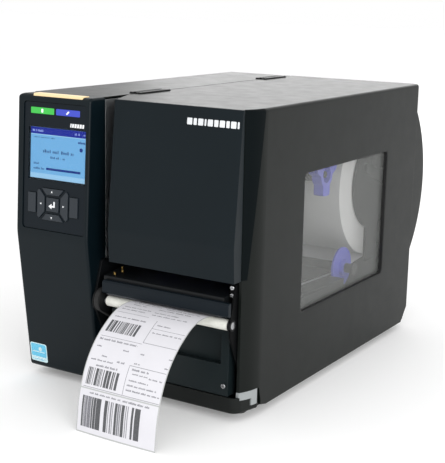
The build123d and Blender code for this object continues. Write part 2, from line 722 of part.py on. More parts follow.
def screws():
    """Visible screws and the deck's thumbscrew."""
    solids = []
    for x, z in TAB_SCREWS:
        solids.append(screw_y(x, 15.5, z, 2.6))
    thumb = rod_x(6, 263.6, 270, (226, 74)) - rod_x(2.5, 269, 271, (226, 74))
    for step in range(12):
        turn = radians(30 * step)
        thumb -= rod_x(0.9, 264.5, 271, (226 + 6 * cos(turn), 74 + 6 * sin(turn)))
    solids.append(thumb)
    solids.append(screw_y(PANEL_SCREW[0], 13.2, PANEL_SCREW[1], 2.8))
    return group(*solids)


# ---------------------------------------------------------------- hinges
KNUCKLE_RADIUS = 2.4
PIN_RADIUS = 1.2
HINGE_AXIS_XZ = (SEAM_X, HINGE_Z)


def knuckle(y0, y1):
    """Rolled eye of a hinge leaf."""
    return rod_y(KNUCKLE_RADIUS, y0, y1, *HINGE_AXIS_XZ)


def fixed_leaf(front, back):
    """Leaf on the frame plate, with the outer knuckles and the pin."""
    third = (back - front) / 4
    leaf = block(104.2, 105.6, front + 1, back - 1, 306, 323.4)
    for y0, y1 in ((front + 1, front + third - 0.3), (back - third + 0.3, back - 1)):
        leaf += knuckle(y0, y1)
        leaf += block(104.2, 105.6, y0, y1, 322, 328)
    return leaf + rod_y(PIN_RADIUS, front + 1, back - 1, *HINGE_AXIS_XZ)


def moving_leaf(front, back):
    """Leaf under the top panel, with the middle knuckle."""
    third = (back - front) / 4
    y0, y1 = front + third, back - third
    leaf = knuckle(y0, y1)
    leaf += block(104.6, 107.4, y0, y1, 325.0, 327.9)
    leaf += block(106, 126, front + 2, back - 2, 325.0, 326.7)
    return leaf - rod_y(PIN_RADIUS + RUNNING, y0 - 1, y1 + 1, *HINGE_AXIS_XZ)


def hinge_fixed_leaves():
    return group(*[fixed_leaf(*span) for span in HINGE_SPANS])


def hinge_moving_leaves():
    return group(*[moving_leaf(*span) for span in HINGE_SPANS])


# ---------------------------------------------------------------- media cover
def cover_plan(inset):
    """Plan of the top and side shell, set in by a wall on the right and at the corner."""
    arc = corner_arc(inset)
    right = WIDTH - inset
    rim = Polyline((right, CORNER_BACK), (right, COVER_BACK), (COVER_LEFT, COVER_BACK), (COVER_LEFT, 68),
                   (COVER_FRONT_LEFT + 0.6, 18.2), (CORNER_X - 3.2, 18.2), arc @ 0)
    return make_face([arc, *rim.edges()])


def cover_shell():
    """Top, right side and rounded corner of the media cover in one moulding."""
    body = upright(cover_plan(0), BASE_LOW, HEIGHT)
    top_edges = body.edges().filter_by(
        lambda e: e.center().Z > HEIGHT - 0.1 and e.center().X > 290
    )
    body = fillet(top_edges, 4.0)
    hollow = upright(rectangle(60, COVER_INSIDE, CORNER_BACK, 500), -1, HEIGHT - WALL)
    hollow += upright(cover_plan(WALL) + rectangle(60, 270, -10, CORNER_BACK + 5), -1, HEIGHT - WALL)
    body -= hollow
    body -= block(60, CORNER_X - 3.4, -10, CORNER_BACK + 20, -1, HEIGHT - WALL)
    low_corner = outline([(0, -1), (CORNER_BACK, -1), (CORNER_BACK, 12), (46, 28), (0, 28)], {3: 3})
    body -= across(low_corner, 250, WIDTH + 2)
    front_toe = outline([(40, 3), (66, 3), (50, 7), (44, 24), (40, 24)])
    body -= across(front_toe, 250, WIDTH + 2)
    rear_toe = outline([(COVER_BACK - 18, 3), (COVER_BACK + 1, 3), (COVER_BACK + 1, 24)])
    body -= across(rear_toe, 250, WIDTH + 2)
    body -= across(rectangle(*WINDOW_Y, *WINDOW_Z, 7), 280, WIDTH + 2)
    for front, back in HINGE_SPANS:
        body -= block(100, 107.6, front - 0.6, back + 0.6, 325, 332)
    return body


def cover_front():
    """Front face of the media cover, with the slanted return on its left."""
    right = CORNER_X - 0.6
    plan = outline([(COVER_LEFT + 0.8, 72), (COVER_LEFT + 0.8, 66), (COVER_FRONT_LEFT, 15.5),
                    (COVER_FRONT_LEFT, -10), (right, -10), (right, 72)])
    inner_plan = outline([(COVER_LEFT + 4.0, 80), (COVER_LEFT + 4.0, 66.5), (COVER_FRONT_LEFT + 3.2, 16),
                          (COVER_FRONT_LEFT + 3.2, -10), (right - WALL, -10), (right - WALL, 80)])
    body = across(cover_front_outline(0), COVER_LEFT, right) & upright(plan, 100, HEIGHT)
    inside = across(cover_front_outline(WALL), COVER_LEFT, right) & upright(inner_plan, 100, HEIGHT - WALL)
    body -= inside
    body -= Pos(0, 0, -10) * inside
    body -= block(COVER_LEFT - 2, right + 2, 17.9, 80, HEIGHT - WALL - GAP, HEIGHT + 1)
    body -= block(right - 8, right + 2, 18.2, 80, 100, HEIGHT + 1)
    front_top = body.edges().filter_by(Axis.X).filter_by(
        lambda e: e.center().Z > HEIGHT - 0.1 and e.center().Y < COVER_TOP_Y + 0.5
    )
    return fillet(front_top, 1.5)


def window_gasket():
    """Rubber channel round the window."""
    y0, y1 = WINDOW_Y
    z0, z1 = WINDOW_Z
    clear = 0.15
    lip = 1.3
    ring = across(rectangle(y0 + clear, y1 - clear, z0 + clear, z1 - clear, 6.8), 293.4, WIDTH - 0.2)
    ring += across(rectangle(y0 - 5, y1 + 5, z0 - 5, z1 + 5, 8), 293.4, COVER_INSIDE - 0.1)
    return ring - across(rectangle(y0 + lip, y1 - lip, z0 + lip, z1 - lip, 6), 290, WIDTH + 1)


def window_pane():
    """Smoked clear pane behind the gasket."""
    y0, y1 = WINDOW_Y
    z0, z1 = WINDOW_Z
    return across(rectangle(y0 - 4.5, y1 + 4.5, z0 - 4.5, z1 + 4.5, 7.5), 291.4, 293.3)


# ---------------------------------------------------------------- moving parts of the mechanism
def platen_shaft():
    """Steel shaft of the platen."""
    body = rod_x(4, LEFT_PLATE[0] + 0.3, RIGHT_PLATE[1], PLATEN)
    return body + rod_x(5.2, 118.4, 119.6, PLATEN)


def platen_roller():
    """Rubber sleeve of the platen."""
    body = tube_x(PLATEN_RADIUS, 4.02, 120.5, 281.0, PLATEN)
    ends = body.edges().filter_by(GeomType.CIRCLE).filter_by(lambda e: e.radius > PLATEN_RADIUS - 0.5)
    return chamfer(ends, 0.6)


HEAD_LEFT = 118.0
HEAD_RIGHT = 276.5
CAM_PLACES = (150.0, 250.0)


def printhead_carrier():
    """Arm that holds the printhead and pivots on its rear pin."""
    side_view = [(5, 119.3), (5, 134), (42, 138), (73, 146.5), (80, 159), (104, 159), (104, 142),
                 (86, 139), (48, 119.3)]
    body = across(outline(side_view, {1: 2, 4: 3, 5: 5, 6: 5}), HEAD_LEFT, HEAD_RIGHT)
    underside = [(9, 118), (9, 130), (42, 134), (74, 142.5), (80, 148), (80, 140), (48, 118)]
    body -= across(outline(underside), HEAD_LEFT + 5, HEAD_RIGHT - 5)
    body += rod_x(4, LEFT_PLATE[0] + 0.3, RIGHT_PLATE[1], HEAD_PIVOT)
    for x in CAM_PLACES:
        body += block(x - 5, x + 5, 73, 91, 150, 161)
    return body


def printhead_block():
    """Printing block with its heat sink fins."""
    body = block(122, 274, 4.8, 26, 111.0, 119.1)
    body -= block(120, 276, 4, 10.6, 109, 112.6)
    for fin in range(3):
        y = 12 + 4.4 * fin
        body -= block(120, 276, y, y + 1.8, 114.5, 118.0)
    return body


def head_front_bar():
    """Bar across the front of the printhead, above the label exit."""
    shape = [(-2, 117.2), (-2, 128.2), (0, 130.2), (4.6, 130.2), (4.6, 115.5), (-0.6, 115.5)]
    body = across(outline(shape), 121, 286.5)
    return body - block(283, 290, 3.0, 8, 110, 132)


def head_latch_lever():
    """Cross shaft with two cams and the lever that clamps the printhead."""
    y, z = LATCH_AXIS
    body = rod_x(4, LEFT_PLATE[0] + 0.3, RIGHT_PLATE[1], LATCH_AXIS)
    cam = make_face(Polyline((-5.4, 0), (-1.5, -10), (1.5, -10), (5.4, 0), close=True)) + Circle(5.5)
    for x in CAM_PLACES:
        body += across(Pos(y, z) * cam, x - 4, x + 4)
    arm = outline([(y + 6, z + 5), (y + 6, z - 5), (y - 30, z - 14), (34, z - 13), (30, z - 8), (34, z - 3),
                   (y - 24, z - 3)], {0: 4, 1: 4, 3: 2, 5: 2})
    body += across(arm, 277.8, 281.4)
    return body + across(outline([(40, z - 13.6), (28, z - 14), (25, z - 8), (28, z - 2), (40, z - 2.6)],
                                 {1: 2.5, 3: 2.5}), 274.5, 281.8)


def spindle(axis, shaft_end):
    """Ribbon spindle: shaft, disc and a barrel with three leaf springs."""
    body = rod_x(4, 72, shaft_end, axis) + rod_x(9.5, 112, 254, axis) + rod_x(22, 108, 111, axis)
    body += rod_x(12, 111, 117, axis)
    for step in range(3):
        turn = 90 + 120 * step
        leaf = Pos(*axis) * Rot(0, 0, turn) * rectangle(6, 12.2, -3.2, 3.2, 0.6)
        body += across(leaf, 120, 250)
    return body


def ribbon_supply_spindle():
    return spindle(SUPPLY_AXIS, 268)


def ribbon_take_up_spindle():
    body = spindle(TAKE_UP_AXIS, 262) + rod_x(17, 256, 264, TAKE_UP_AXIS)
    for step in range(10):
        turn = radians(36 * step)
        flute = (TAKE_UP_AXIS[0] + 17.6 * cos(turn), TAKE_UP_AXIS[1] + 17.6 * sin(turn))
        body -= rod_x(2, 257.5, 266, flute)
    return body


def ribbon_supply_hub():
    """Blue end hub with three finger lobes."""
    lobe = rectangle(6, 26, -8.5, 8.5, 4)
    shape = Circle(15) + [Rot(0, 0, -90 + 120 * step) * lobe for step in range(3)]
    body = across(Pos(*SUPPLY_AXIS) * shape, 257, 270)
    body -= rod_x(10, 262, 272, SUPPLY_AXIS)
    return body - rod_x(4.02, 250, 272, SUPPLY_AXIS)


def label_roll():
    """Wound label stock."""
    return tube_x(ROLL_RADIUS, CORE_RADIUS + 2.05, LABEL_LEFT, LABEL_RIGHT, ROLL_AXIS)


def roll_core():
    """Board tube inside the roll."""
    return tube_x(CORE_RADIUS + 2, CORE_RADIUS, LABEL_LEFT - 0.3, LABEL_RIGHT + 0.3, ROLL_AXIS)


def roll_guide():
    """Outer roll guide: a disc with a stem, sliding on the hanger."""
    y, z = ROLL_AXIS
    disc = Pos(y, z) * Circle(62)
    stem = rectangle(y - 20, y + 20, z - 106, z - 30, 4)
    body = across(disc + stem, 263.0, 265.8)
    lever = Pos(y - 2, z + 10) * Rot(0, 0, -23) * RectangleRounded(76, 12, 5)
    body += across(lever, 265.8, 270.5)
    return body - rod_x(HANGER_RADIUS + RUNNING, 250, 280, (y, HANGER_Z))


def width_guide():
    """Blue disc that sets the paper's edge, sliding on the guide bar."""
    body = rod_x(26, 264, 267.2, GUIDE_BAR)
    body = fillet(body.edges().filter_by(GeomType.CIRCLE).sort_by(Axis.X)[-1], 1.0)
    body += rod_x(10.5, 267, 272, GUIDE_BAR)
    return body - rod_x(GUIDE_BAR_RADIUS + RUNNING, 260, 275, GUIDE_BAR)


# ---------------------------------------------------------------- all pieces
PIECES = {
    "base_tray": base_tray,
    "feet": feet,
    "centre_wall": centre_wall,
    "electronics_cover": electronics_cover,
    "rear_panel": rear_panel,
    "roll_bay_cover": roll_bay_cover,
    "front_fascia": front_fascia,
    "light_bar": light_bar,
    "control_bezel": control_bezel,
    "display_lens": display_lens,
    "display_module": display_module,
    "status_lenses": status_lenses,
    "main_board": main_board,
    "power_supply": power_supply,
    "power_inlet": power_inlet,
    "power_switch": power_switch,
    "io_ports": io_ports,
    "drive_motor": drive_motor,
    "motor_pulley": motor_pulley,
    "platen_pulley": platen_pulley,
    "drive_belt": drive_belt,
    "ribbon_motors": ribbon_motors,
    "lower_front_panel": lower_front_panel,
    "left_side_plate": left_side_plate,
    "right_side_plate": right_side_plate,
    "platen_bearings": platen_bearings,
    "media_deck": media_deck,
    "sensor_plate": sensor_plate,
    "media_hanger": media_hanger,
    "web_guide_bar": web_guide_bar,
    "label_web": label_web,
    "label_strip": label_strip,
    "cover_rest": cover_rest,
    "screws": screws,
    "hinge_fixed_leaves": hinge_fixed_leaves,
    "hinge_moving_leaves": hinge_moving_leaves,
    "cover_shell": cover_shell,
    "cover_front": cover_front,
    "window_gasket": window_gasket,
    "window_pane": window_pane,
    "platen_shaft": platen_shaft,
    "platen_roller": platen_roller,
    "printhead_carrier": printhead_carrier,
    "printhead_block": printhead_block,
    "head_front_bar": head_front_bar,
    "head_latch_lever": head_latch_lever,
    "ribbon_supply_spindle": ribbon_supply_spindle,
    "ribbon_supply_hub": ribbon_supply_hub,
    "ribbon_take_up_spindle": ribbon_take_up_spindle,
    "label_roll": label_roll,
    "roll_core": roll_core,
    "roll_guide": roll_guide,
    "width_guide": width_guide,
}


def export_piece(name, shape):
    """Write one node, moved from casing coordinates to the part's origin."""
    export_step(Pos(-ORIGIN_X, -ORIGIN_Y, FOOT_DROP) * shape, f"parts/{name}.step")


os.makedirs("parts", exist_ok=True)
for piece_name, make_piece in PIECES.items():
    export_piece(piece_name, make_piece())
for key_name, key_points in KEYS.items():
    export_piece(key_name, key(key_points))
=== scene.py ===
"""Looks of the thermal label printer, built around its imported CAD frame.

Everything is in metres in the row frame. Many places are worked out in casing millimetres:
X from the casing's left side, Y back from the top front edge of the control column, and Z up
from the casing's datum, which the feet hold 6 mm above the table.
"""

import json
import math
import random

import bmesh
import bpy
from mathutils import Matrix, Vector


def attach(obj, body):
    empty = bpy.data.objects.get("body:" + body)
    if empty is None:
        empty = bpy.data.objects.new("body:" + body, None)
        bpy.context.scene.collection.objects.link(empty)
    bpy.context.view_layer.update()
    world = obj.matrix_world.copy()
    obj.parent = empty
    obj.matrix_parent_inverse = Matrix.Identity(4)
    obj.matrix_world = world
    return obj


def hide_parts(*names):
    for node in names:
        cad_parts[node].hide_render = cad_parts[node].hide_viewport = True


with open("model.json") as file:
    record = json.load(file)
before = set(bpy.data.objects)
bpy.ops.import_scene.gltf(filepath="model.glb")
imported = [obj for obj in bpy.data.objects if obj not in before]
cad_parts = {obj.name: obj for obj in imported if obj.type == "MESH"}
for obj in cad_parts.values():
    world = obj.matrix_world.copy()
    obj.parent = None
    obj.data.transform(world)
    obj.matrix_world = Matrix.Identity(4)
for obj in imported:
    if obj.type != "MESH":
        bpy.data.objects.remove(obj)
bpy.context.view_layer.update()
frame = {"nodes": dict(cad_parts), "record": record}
NODES = frame["nodes"]

MM = 0.001
CASING_WIDTH, CASING_HEIGHT, CASING_BACK = 298.0, 330.0, 455.0
DATUM = Vector((CASING_WIDTH / 2, 200.0, -6.0))       # row-frame origin in casing millimetres


def casing(x, y, z):
    """Row-frame point of a place given in casing millimetres."""
    return (Vector((x, y, z)) - DATUM) * MM


def sloped_face(foot_y, foot_z, top_y, top_z):
    """Placing function for a flat face that leans in Y: u across, v up the face, w outward."""
    rise = Vector((0.0, top_y - foot_y, top_z - foot_z)).normalized()
    outward = Vector((1.0, 0.0, 0.0)).cross(rise)

    def place(u, v, w):
        spot = Vector((u, foot_y, foot_z)) + rise * v + outward * w
        return casing(*spot)

    return place


PANEL = sloped_face(-8.0, 172.0, 0.0, CASING_HEIGHT)          # control column above its knee
TOE = sloped_face(12.0, 4.0, -8.0, 172.0)                     # control column below its knee
COVER_FACE = sloped_face(2.0, 187.0, 15.2, CASING_HEIGHT)     # media cover above its knee


# ------------------------------------------------------------------ colour and finishes
def rgb(red, green, blue):
    """Linear colour of a 0 to 255 display colour."""
    def linear(value):
        value /= 255.0
        return value / 12.92 if value <= 0.04045 else ((value + 0.055) / 1.055) ** 2.4

    return (linear(red), linear(green), linear(blue), 1.0)


def scaled(colour, factor):
    """Colour made lighter or darker by a factor."""
    return tuple(min(1.0, channel * factor) for channel in colour[:3]) + (1.0,)


class Finish:
    """A node material, put together step by step."""

    def __init__(self, name, colour, roughness, metallic=0.0):
        self.material = bpy.data.materials.new(name)
        self.material.use_nodes = True
        self.tree = self.material.node_tree
        self.shader = self.tree.nodes["Principled BSDF"]
        self.colour = colour
        self.paint = colour         # the colour or socket that feeds the base colour
        self.roughness = roughness
        self.shader.inputs["Base Color"].default_value = colour
        self.shader.inputs["Roughness"].default_value = roughness
        self.shader.inputs["Metallic"].default_value = metallic
        self.place = self.tree.nodes.new("ShaderNodeTexCoord").outputs["Object"]

    def node(self, kind, **settings):
        """New node of a kind, with its properties set."""
        made = self.tree.nodes.new(kind)
        for key, value in settings.items():
            setattr(made, key, value)
        return made

    def link(self, source, target):
        """Join an output to an input."""
        self.tree.links.new(source, target)

    def noise(self, scale, detail=4.0, rough=0.6, stretch=None, distortion=0.0):
        """Noise over the object, its features about 1 / scale metres across."""
        texture = self.node("ShaderNodeTexNoise")
        texture.inputs["Scale"].default_value = scale
        texture.inputs["Detail"].default_value = detail
        texture.inputs["Roughness"].default_value = rough
        texture.inputs["Distortion"].default_value = distortion
        source = self.place
        if stretch:
            mapping = self.node("ShaderNodeMapping")
            mapping.inputs["Scale"].default_value = stretch
            self.link(source, mapping.inputs["Vector"])
            source = mapping.outputs["Vector"]
        self.link(source, texture.inputs["Vector"])
        return texture.outputs["Fac"]

    def remap(self, value, low, high, new_low, new_high):
        """Value carried from one range to another, held at the new range's ends."""
        node = self.node("ShaderNodeMapRange")
        ends = {"From Min": low, "From Max": high, "To Min": new_low, "To Max": new_high}
        for key, number in ends.items():
            node.inputs[key].default_value = number
        self.link(value, node.inputs["Value"])
        return node.outputs["Result"]

    def blend(self, factor, first, second):
        """Colour between two others; either may be a colour or another node's output."""
        node = self.node("ShaderNodeMix", data_type="RGBA")
        self.link(factor, node.inputs["Factor"])
        for socket, value in ((node.inputs["A"], first), (node.inputs["B"], second)):
            if isinstance(value, tuple):
                socket.default_value = value
            else:
                self.link(value, socket)
        return node.outputs["Result"]

    def mottle(self, scale, amount, **noise):
        """Slow change of the base colour by plus and minus amount."""
        factor = self.remap(self.noise(scale, **noise), 0.3, 0.7, 0.0, 1.0)
        mixed = self.blend(factor, scaled(self.colour, 1 - amount), scaled(self.colour, 1 + amount))
        self.paint = mixed
        self.link(mixed, self.shader.inputs["Base Color"])
        return self

    def uneven_gloss(self, scale, amount, **noise):
        """Slow change of the roughness by plus and minus amount."""
        low, high = max(0.02, self.roughness - amount), min(1.0, self.roughness + amount)
        rough = self.remap(self.noise(scale, **noise), 0.3, 0.7, low, high)
        self.link(rough, self.shader.inputs["Roughness"])
        return self

    def relief(self, scale, depth, soften=0.0, **noise):
        """Bump of a given depth in metres; soften rounds the solid's sharp edges."""
        return self.relief_from(self.noise(scale, **noise), depth, soften=soften)

    def relief_from(self, height, depth, strength=1.0, soften=0.0):
        """Bump that follows another node's output."""
        bump = self.node("ShaderNodeBump")
        bump.inputs["Distance"].default_value = depth
        bump.inputs["Strength"].default_value = strength
        self.link(height, bump.inputs["Height"])
        if soften:
            self.link(self.rounded(soften), bump.inputs["Normal"])
        self.link(bump.outputs["Normal"], self.shader.inputs["Normal"])
        return self

    def rounded(self, radius):
        """Normal that turns softly over edges within a radius."""
        bevel = self.node("ShaderNodeBevel", samples=4)
        bevel.inputs["Radius"].default_value = radius
        return bevel.outputs["Normal"]

    def worn_edges(self, colour, amount, radius=0.0009):
        """Lighter rub marks where the surface turns sharply, broken up by noise."""
        flat = self.node("ShaderNodeNewGeometry")
        product = self.node("ShaderNodeVectorMath", operation="DOT_PRODUCT")
        self.link(flat.outputs["Normal"], product.inputs[0])
        self.link(self.rounded(radius), product.inputs[1])
        edge = self.remap(product.outputs["Value"], 0.98, 0.8, 0.0, 1.0)
        broken = self.remap(self.noise(260.0, detail=6.0), 0.42, 0.62, 0.0, amount)
        both = self.node("ShaderNodeMath", operation="MULTIPLY")
        self.link(edge, both.inputs[0])
        self.link(broken, both.inputs[1])
        mixed = self.blend(both.outputs["Value"], self.paint, colour)
        self.paint = mixed
        self.link(mixed, self.shader.inputs["Base Color"])
        return self

    def set(self, **values):
        """Constants on the shader's own sockets."""
        for key, value in values.items():
            self.shader.inputs[key.replace("_", " ")].default_value = value
        return self

    def glow(self, colour, strength):
        """Light given off by the surface itself."""
        self.shader.inputs["Emission Color"].default_value = colour
        self.shader.inputs["Emission Strength"].default_value = strength
        return self


def moulding(name, colour, roughness, grain=1500.0, depth=0.00002, specular=0.2):
    """Moulded plastic with an etched texture."""
    finish = Finish(name, colour, roughness)
    finish.mottle(14.0, 0.06, detail=3.0).uneven_gloss(50.0, 0.025, detail=3.0)
    finish.relief(grain, depth, soften=0.0005, detail=2.0)
    finish.worn_edges(scaled(colour, 2.2), amount=0.45)
    return finish.set(Specular_IOR_Level=specular)


def coated(name, colour, roughness, specular=0.2):
    """Powder-coated sheet."""
    finish = Finish(name, colour, roughness)
    finish.mottle(9.0, 0.06, detail=3.0).uneven_gloss(40.0, 0.025, detail=3.0)
    finish.relief(1300.0, 0.00003, soften=0.0006, detail=3.0, rough=0.5)
    finish.worn_edges(scaled(colour, 2.4), amount=0.5)
    return finish.set(Specular_IOR_Level=specular)


def metal(name, colour, roughness, stretch, grain=700.0):
    """Bare metal with a drawn or turned grain along its long side."""
    finish = Finish(name, colour, roughness, metallic=1.0)
    finish.mottle(30.0, 0.12, detail=5.0)
    finish.uneven_gloss(grain, 0.10, stretch=stretch, detail=3.0)
    finish.relief(grain, 0.00002, soften=0.0004, stretch=stretch, detail=2.0)
    return finish


def rubber(name, colour, roughness=0.75):
    """Matt rubber with a fine uneven skin."""
    finish = Finish(name, colour, roughness)
    finish.mottle(60.0, 0.15, detail=6.0).uneven_gloss(200.0, 0.08)
    finish.relief(2200.0, 0.00005, soften=0.0004, detail=2.0)
    return finish


def paper(name, colour, roughness=0.62):
    """Paper or board with a faint fibre relief."""
    finish = Finish(name, colour, roughness)
    finish.mottle(35.0, 0.018, detail=6.0).uneven_gloss(300.0, 0.06)
    finish.relief(1400.0, 0.00002, detail=5.0, rough=0.7)
    return finish


def lit(name, colour, glow, roughness=0.35):
    """Back-lit plastic: a share of the colour is its own light, the rest what it reflects."""
    finish = Finish(name, scaled(colour, 1.0 - glow), roughness)
    finish.mottle(90.0, 0.05, detail=2.0).uneven_gloss(120.0, 0.05)
    finish.relief(1800.0, 0.00001, detail=2.0)
    return finish.glow(colour, glow).set(Specular_IOR_Level=0.2)


def ink(name, colour, roughness=0.5):
    """Thermal print: nearly solid, with small faint spots."""
    finish = Finish(name, colour, roughness)
    finish.mottle(900.0, 0.35, detail=6.0).uneven_gloss(500.0, 0.08)
    finish.relief(1600.0, 0.000004, detail=2.0)
    return finish


def wound_paper(name, colour, axis):
    """Side of a wound roll: fine rings about its axis, with a few darker turns."""
    finish = Finish(name, colour, 0.7)
    rings = finish.node("ShaderNodeTexWave", wave_type="RINGS", rings_direction="X",
                        wave_profile="SIN")
    rings.inputs["Scale"].default_value = 180.0
    rings.inputs["Distortion"].default_value = 0.6
    rings.inputs["Detail"].default_value = 2.0
    mapping = finish.node("ShaderNodeMapping")
    mapping.inputs["Location"].default_value = (0.0, -axis[1], -axis[2])
    finish.link(finish.place, mapping.inputs["Vector"])
    finish.link(mapping.outputs["Vector"], rings.inputs["Vector"])
    finish.mottle(22.0, 0.03)
    rings_shade = finish.remap(rings.outputs["Fac"], 0.0, 1.0, 0.0, 0.35)
    mixed = finish.blend(rings_shade, finish.paint, scaled(colour, 0.82))
    finish.link(mixed, finish.shader.inputs["Base Color"])
    finish.relief_from(rings.outputs["Fac"], 0.00006, 0.6, 0.0008)
    return finish


ALONG_X = (0.04, 1.0, 1.0)      # noise scales that draw the grain out along one axis
ALONG_Y = (1.0, 0.04, 1.0)
ALONG_Z = (1.0, 1.0, 0.04)
NO_GRAIN = (1.0, 1.0, 1.0)

FINISHES = {
    "charcoal_metal": coated("charcoal_powder_coat", rgb(18, 21, 20), 0.36, 0.18),
    "cover_plastic": moulding("cover_charcoal", rgb(13, 17, 15), 0.36, depth=0.000012,
                              specular=0.14),
    "charcoal_plastic": moulding("front_charcoal", rgb(8, 19, 24), 0.36, specular=0.16),
    "bezel_plastic": moulding("bezel_black", rgb(9, 19, 26), 0.34, 1700.0, specular=0.16),
    "key_plastic": moulding("key_grey", rgb(38, 44, 50), 0.42, 1900.0, specular=0.3),
    "black_plastic": moulding("moulded_black", rgb(17, 18, 19), 0.45),
    "pale_plastic": moulding("moulded_pale", rgb(142, 146, 147), 0.4, specular=0.4),
    "touch_blue": moulding("touch_blue", rgb(86, 90, 205), 0.32, 1300.0, specular=0.4),
    "circuit_board": moulding("solder_mask_green", rgb(24, 92, 48), 0.3, 420.0, 0.00008, 0.4),
    "mechanism_black": coated("mechanism_black", rgb(16, 18, 20), 0.4),
    "motor_black": coated("motor_black", rgb(18, 18, 19), 0.38),
    "frame_aluminium": metal("cast_frame", rgb(176, 178, 180), 0.5, NO_GRAIN, 240.0),
    "bare_aluminium": metal("bare_aluminium", rgb(96, 98, 102), 0.5, ALONG_X),
    "zinc_steel": metal("zinc_steel", rgb(104, 107, 108), 0.46, ALONG_Y, 400.0),
    "connector_steel": metal("plated_shell", rgb(190, 190, 184), 0.3, ALONG_Z),
    "polished_steel": metal("turned_steel", rgb(176, 177, 179), 0.24, ALONG_X, 1100.0),
    "belt_rubber": rubber("belt_rubber", rgb(24, 24, 24)),
    "seal_rubber": rubber("seal_rubber", rgb(14, 14, 15), 0.6),
    "foot_rubber": rubber("foot_rubber", rgb(24, 24, 24)),
    "platen_rubber": rubber("platen_rubber", rgb(228, 228, 220), 0.55),
    "label_paper": paper("label_paper", rgb(213, 212, 217)),
    "core_board": paper("core_board", rgb(176, 148, 112), 0.8),
    "light_diffuser": lit("warm_diffuser", rgb(255, 228, 178), 0.6),
    "display_panel": lit("display_back", rgb(16, 20, 26), 0.0, 0.2),
    "status_lens": lit("status_green", rgb(72, 196, 84), 0.55),
}

CLEAR = Finish("clear_window", rgb(60, 70, 80), 0.06)
CLEAR.mottle(20.0, 0.02).uneven_gloss(30.0, 0.02).relief(40.0, 0.000004)
CLEAR.set(Alpha=0.05)
SMOKED = Finish("smoked_window", rgb(150, 152, 150), 0.07)
SMOKED.mottle(12.0, 0.05).uneven_gloss(16.0, 0.03).relief(30.0, 0.000006)
SMOKED.set(Alpha=0.2)
FINISHES["clear_lens"] = CLEAR
FINISHES["smoked_window"] = SMOKED

ROLL_SIDE = wound_paper("wound_paper", rgb(224, 224, 223), casing(0.0, 396.0, 203.0))
STATUS_BLUE = lit("status_blue", rgb(70, 84, 200), 0.55)
SCREEN_BLUE = lit("screen_blue", rgb(112, 176, 226), 0.6)
SCREEN_EDGE = lit("screen_edge", rgb(150, 200, 236), 0.6)
SCREEN_HEADER = lit("screen_header", rgb(6, 30, 150), 0.6)
SCREEN_INK = lit("screen_ink", rgb(56, 100, 150), 0.5)
SCREEN_DARK = lit("screen_dark", rgb(14, 50, 130), 0.5)
SCREEN_WHITE = lit("screen_white", rgb(150, 170, 232), 0.6)
# Glows at 0.3: real back light on the status window symbols, painted glow on the key symbols and
# the panel mark, which are printed and give no light.
ICON_WHITE_BACKLIT_AND_PAINTED_GLOW = lit("icon_white_backlit_and_painted_glow", rgb(240, 242, 244), 0.3)
BLACK_STEEL = metal("blackened_steel", rgb(70, 71, 72), 0.42, ALONG_X)
SPRING_BRASS = metal("spring_brass", rgb(168, 146, 96), 0.3, NO_GRAIN, 900.0)
# Painted shade: darker and less glossy than the front's own plastic, for the dark wrap on the
# cover's rounded corner.
CORNER_WRAP_PAINTED_SHADE = moulding("corner_wrap_painted_shade", rgb(5, 11, 13), 0.5, specular=0.05)
DECK_GREY = coated("deck_grey", rgb(44, 46, 46), 0.5, 0.15)
# Painted shade: a darker, duller copy of mechanism_black, used only on the right side plate, which
# sits in shade.
PLATE_PAINTED_SHADE = coated("plate_painted_shade", rgb(5, 6, 7), 0.6, 0.08)
PANEL_CHARCOAL = moulding("panel_charcoal", rgb(22, 30, 32), 0.36)
MARK_WHITE = moulding("mark_white", rgb(216, 219, 222), 0.3, specular=0.5)
PRINT_BLACK = ink("thermal_print", rgb(78, 79, 82))
PRINT_GREY = ink("thermal_print_light", rgb(120, 120, 126))
LINER = paper("label_liner", rgb(176, 178, 177), 0.5)
STICKER_BLUE = ink("sticker_cyan", rgb(96, 190, 226), 0.35)
STICKER_PALE = ink("sticker_pale", rgb(196, 224, 240), 0.35)


# ------------------------------------------------------------------ CAD nodes
NODE_FINISH = {         # nodes whose own look differs from their slot's
    "label_roll": ROLL_SIDE,
    "web_guide_bar": BLACK_STEEL,
    # the right side plate takes the painted-shade copy of its slot's finish
    "right_side_plate": PLATE_PAINTED_SHADE,
    "lower_front_panel": PANEL_CHARCOAL,
    "media_deck": DECK_GREY,
}
for entry in frame["record"]["subparts"]:
    node = NODES[entry["node"]]
    finish = NODE_FINISH.get(entry["node"], FINISHES[entry["material_slot"]])
    node.data.materials.clear()
    node.data.materials.append(finish.material)


# ------------------------------------------------------------------ mesh helpers
SHARP_FROM = math.radians(35.0)


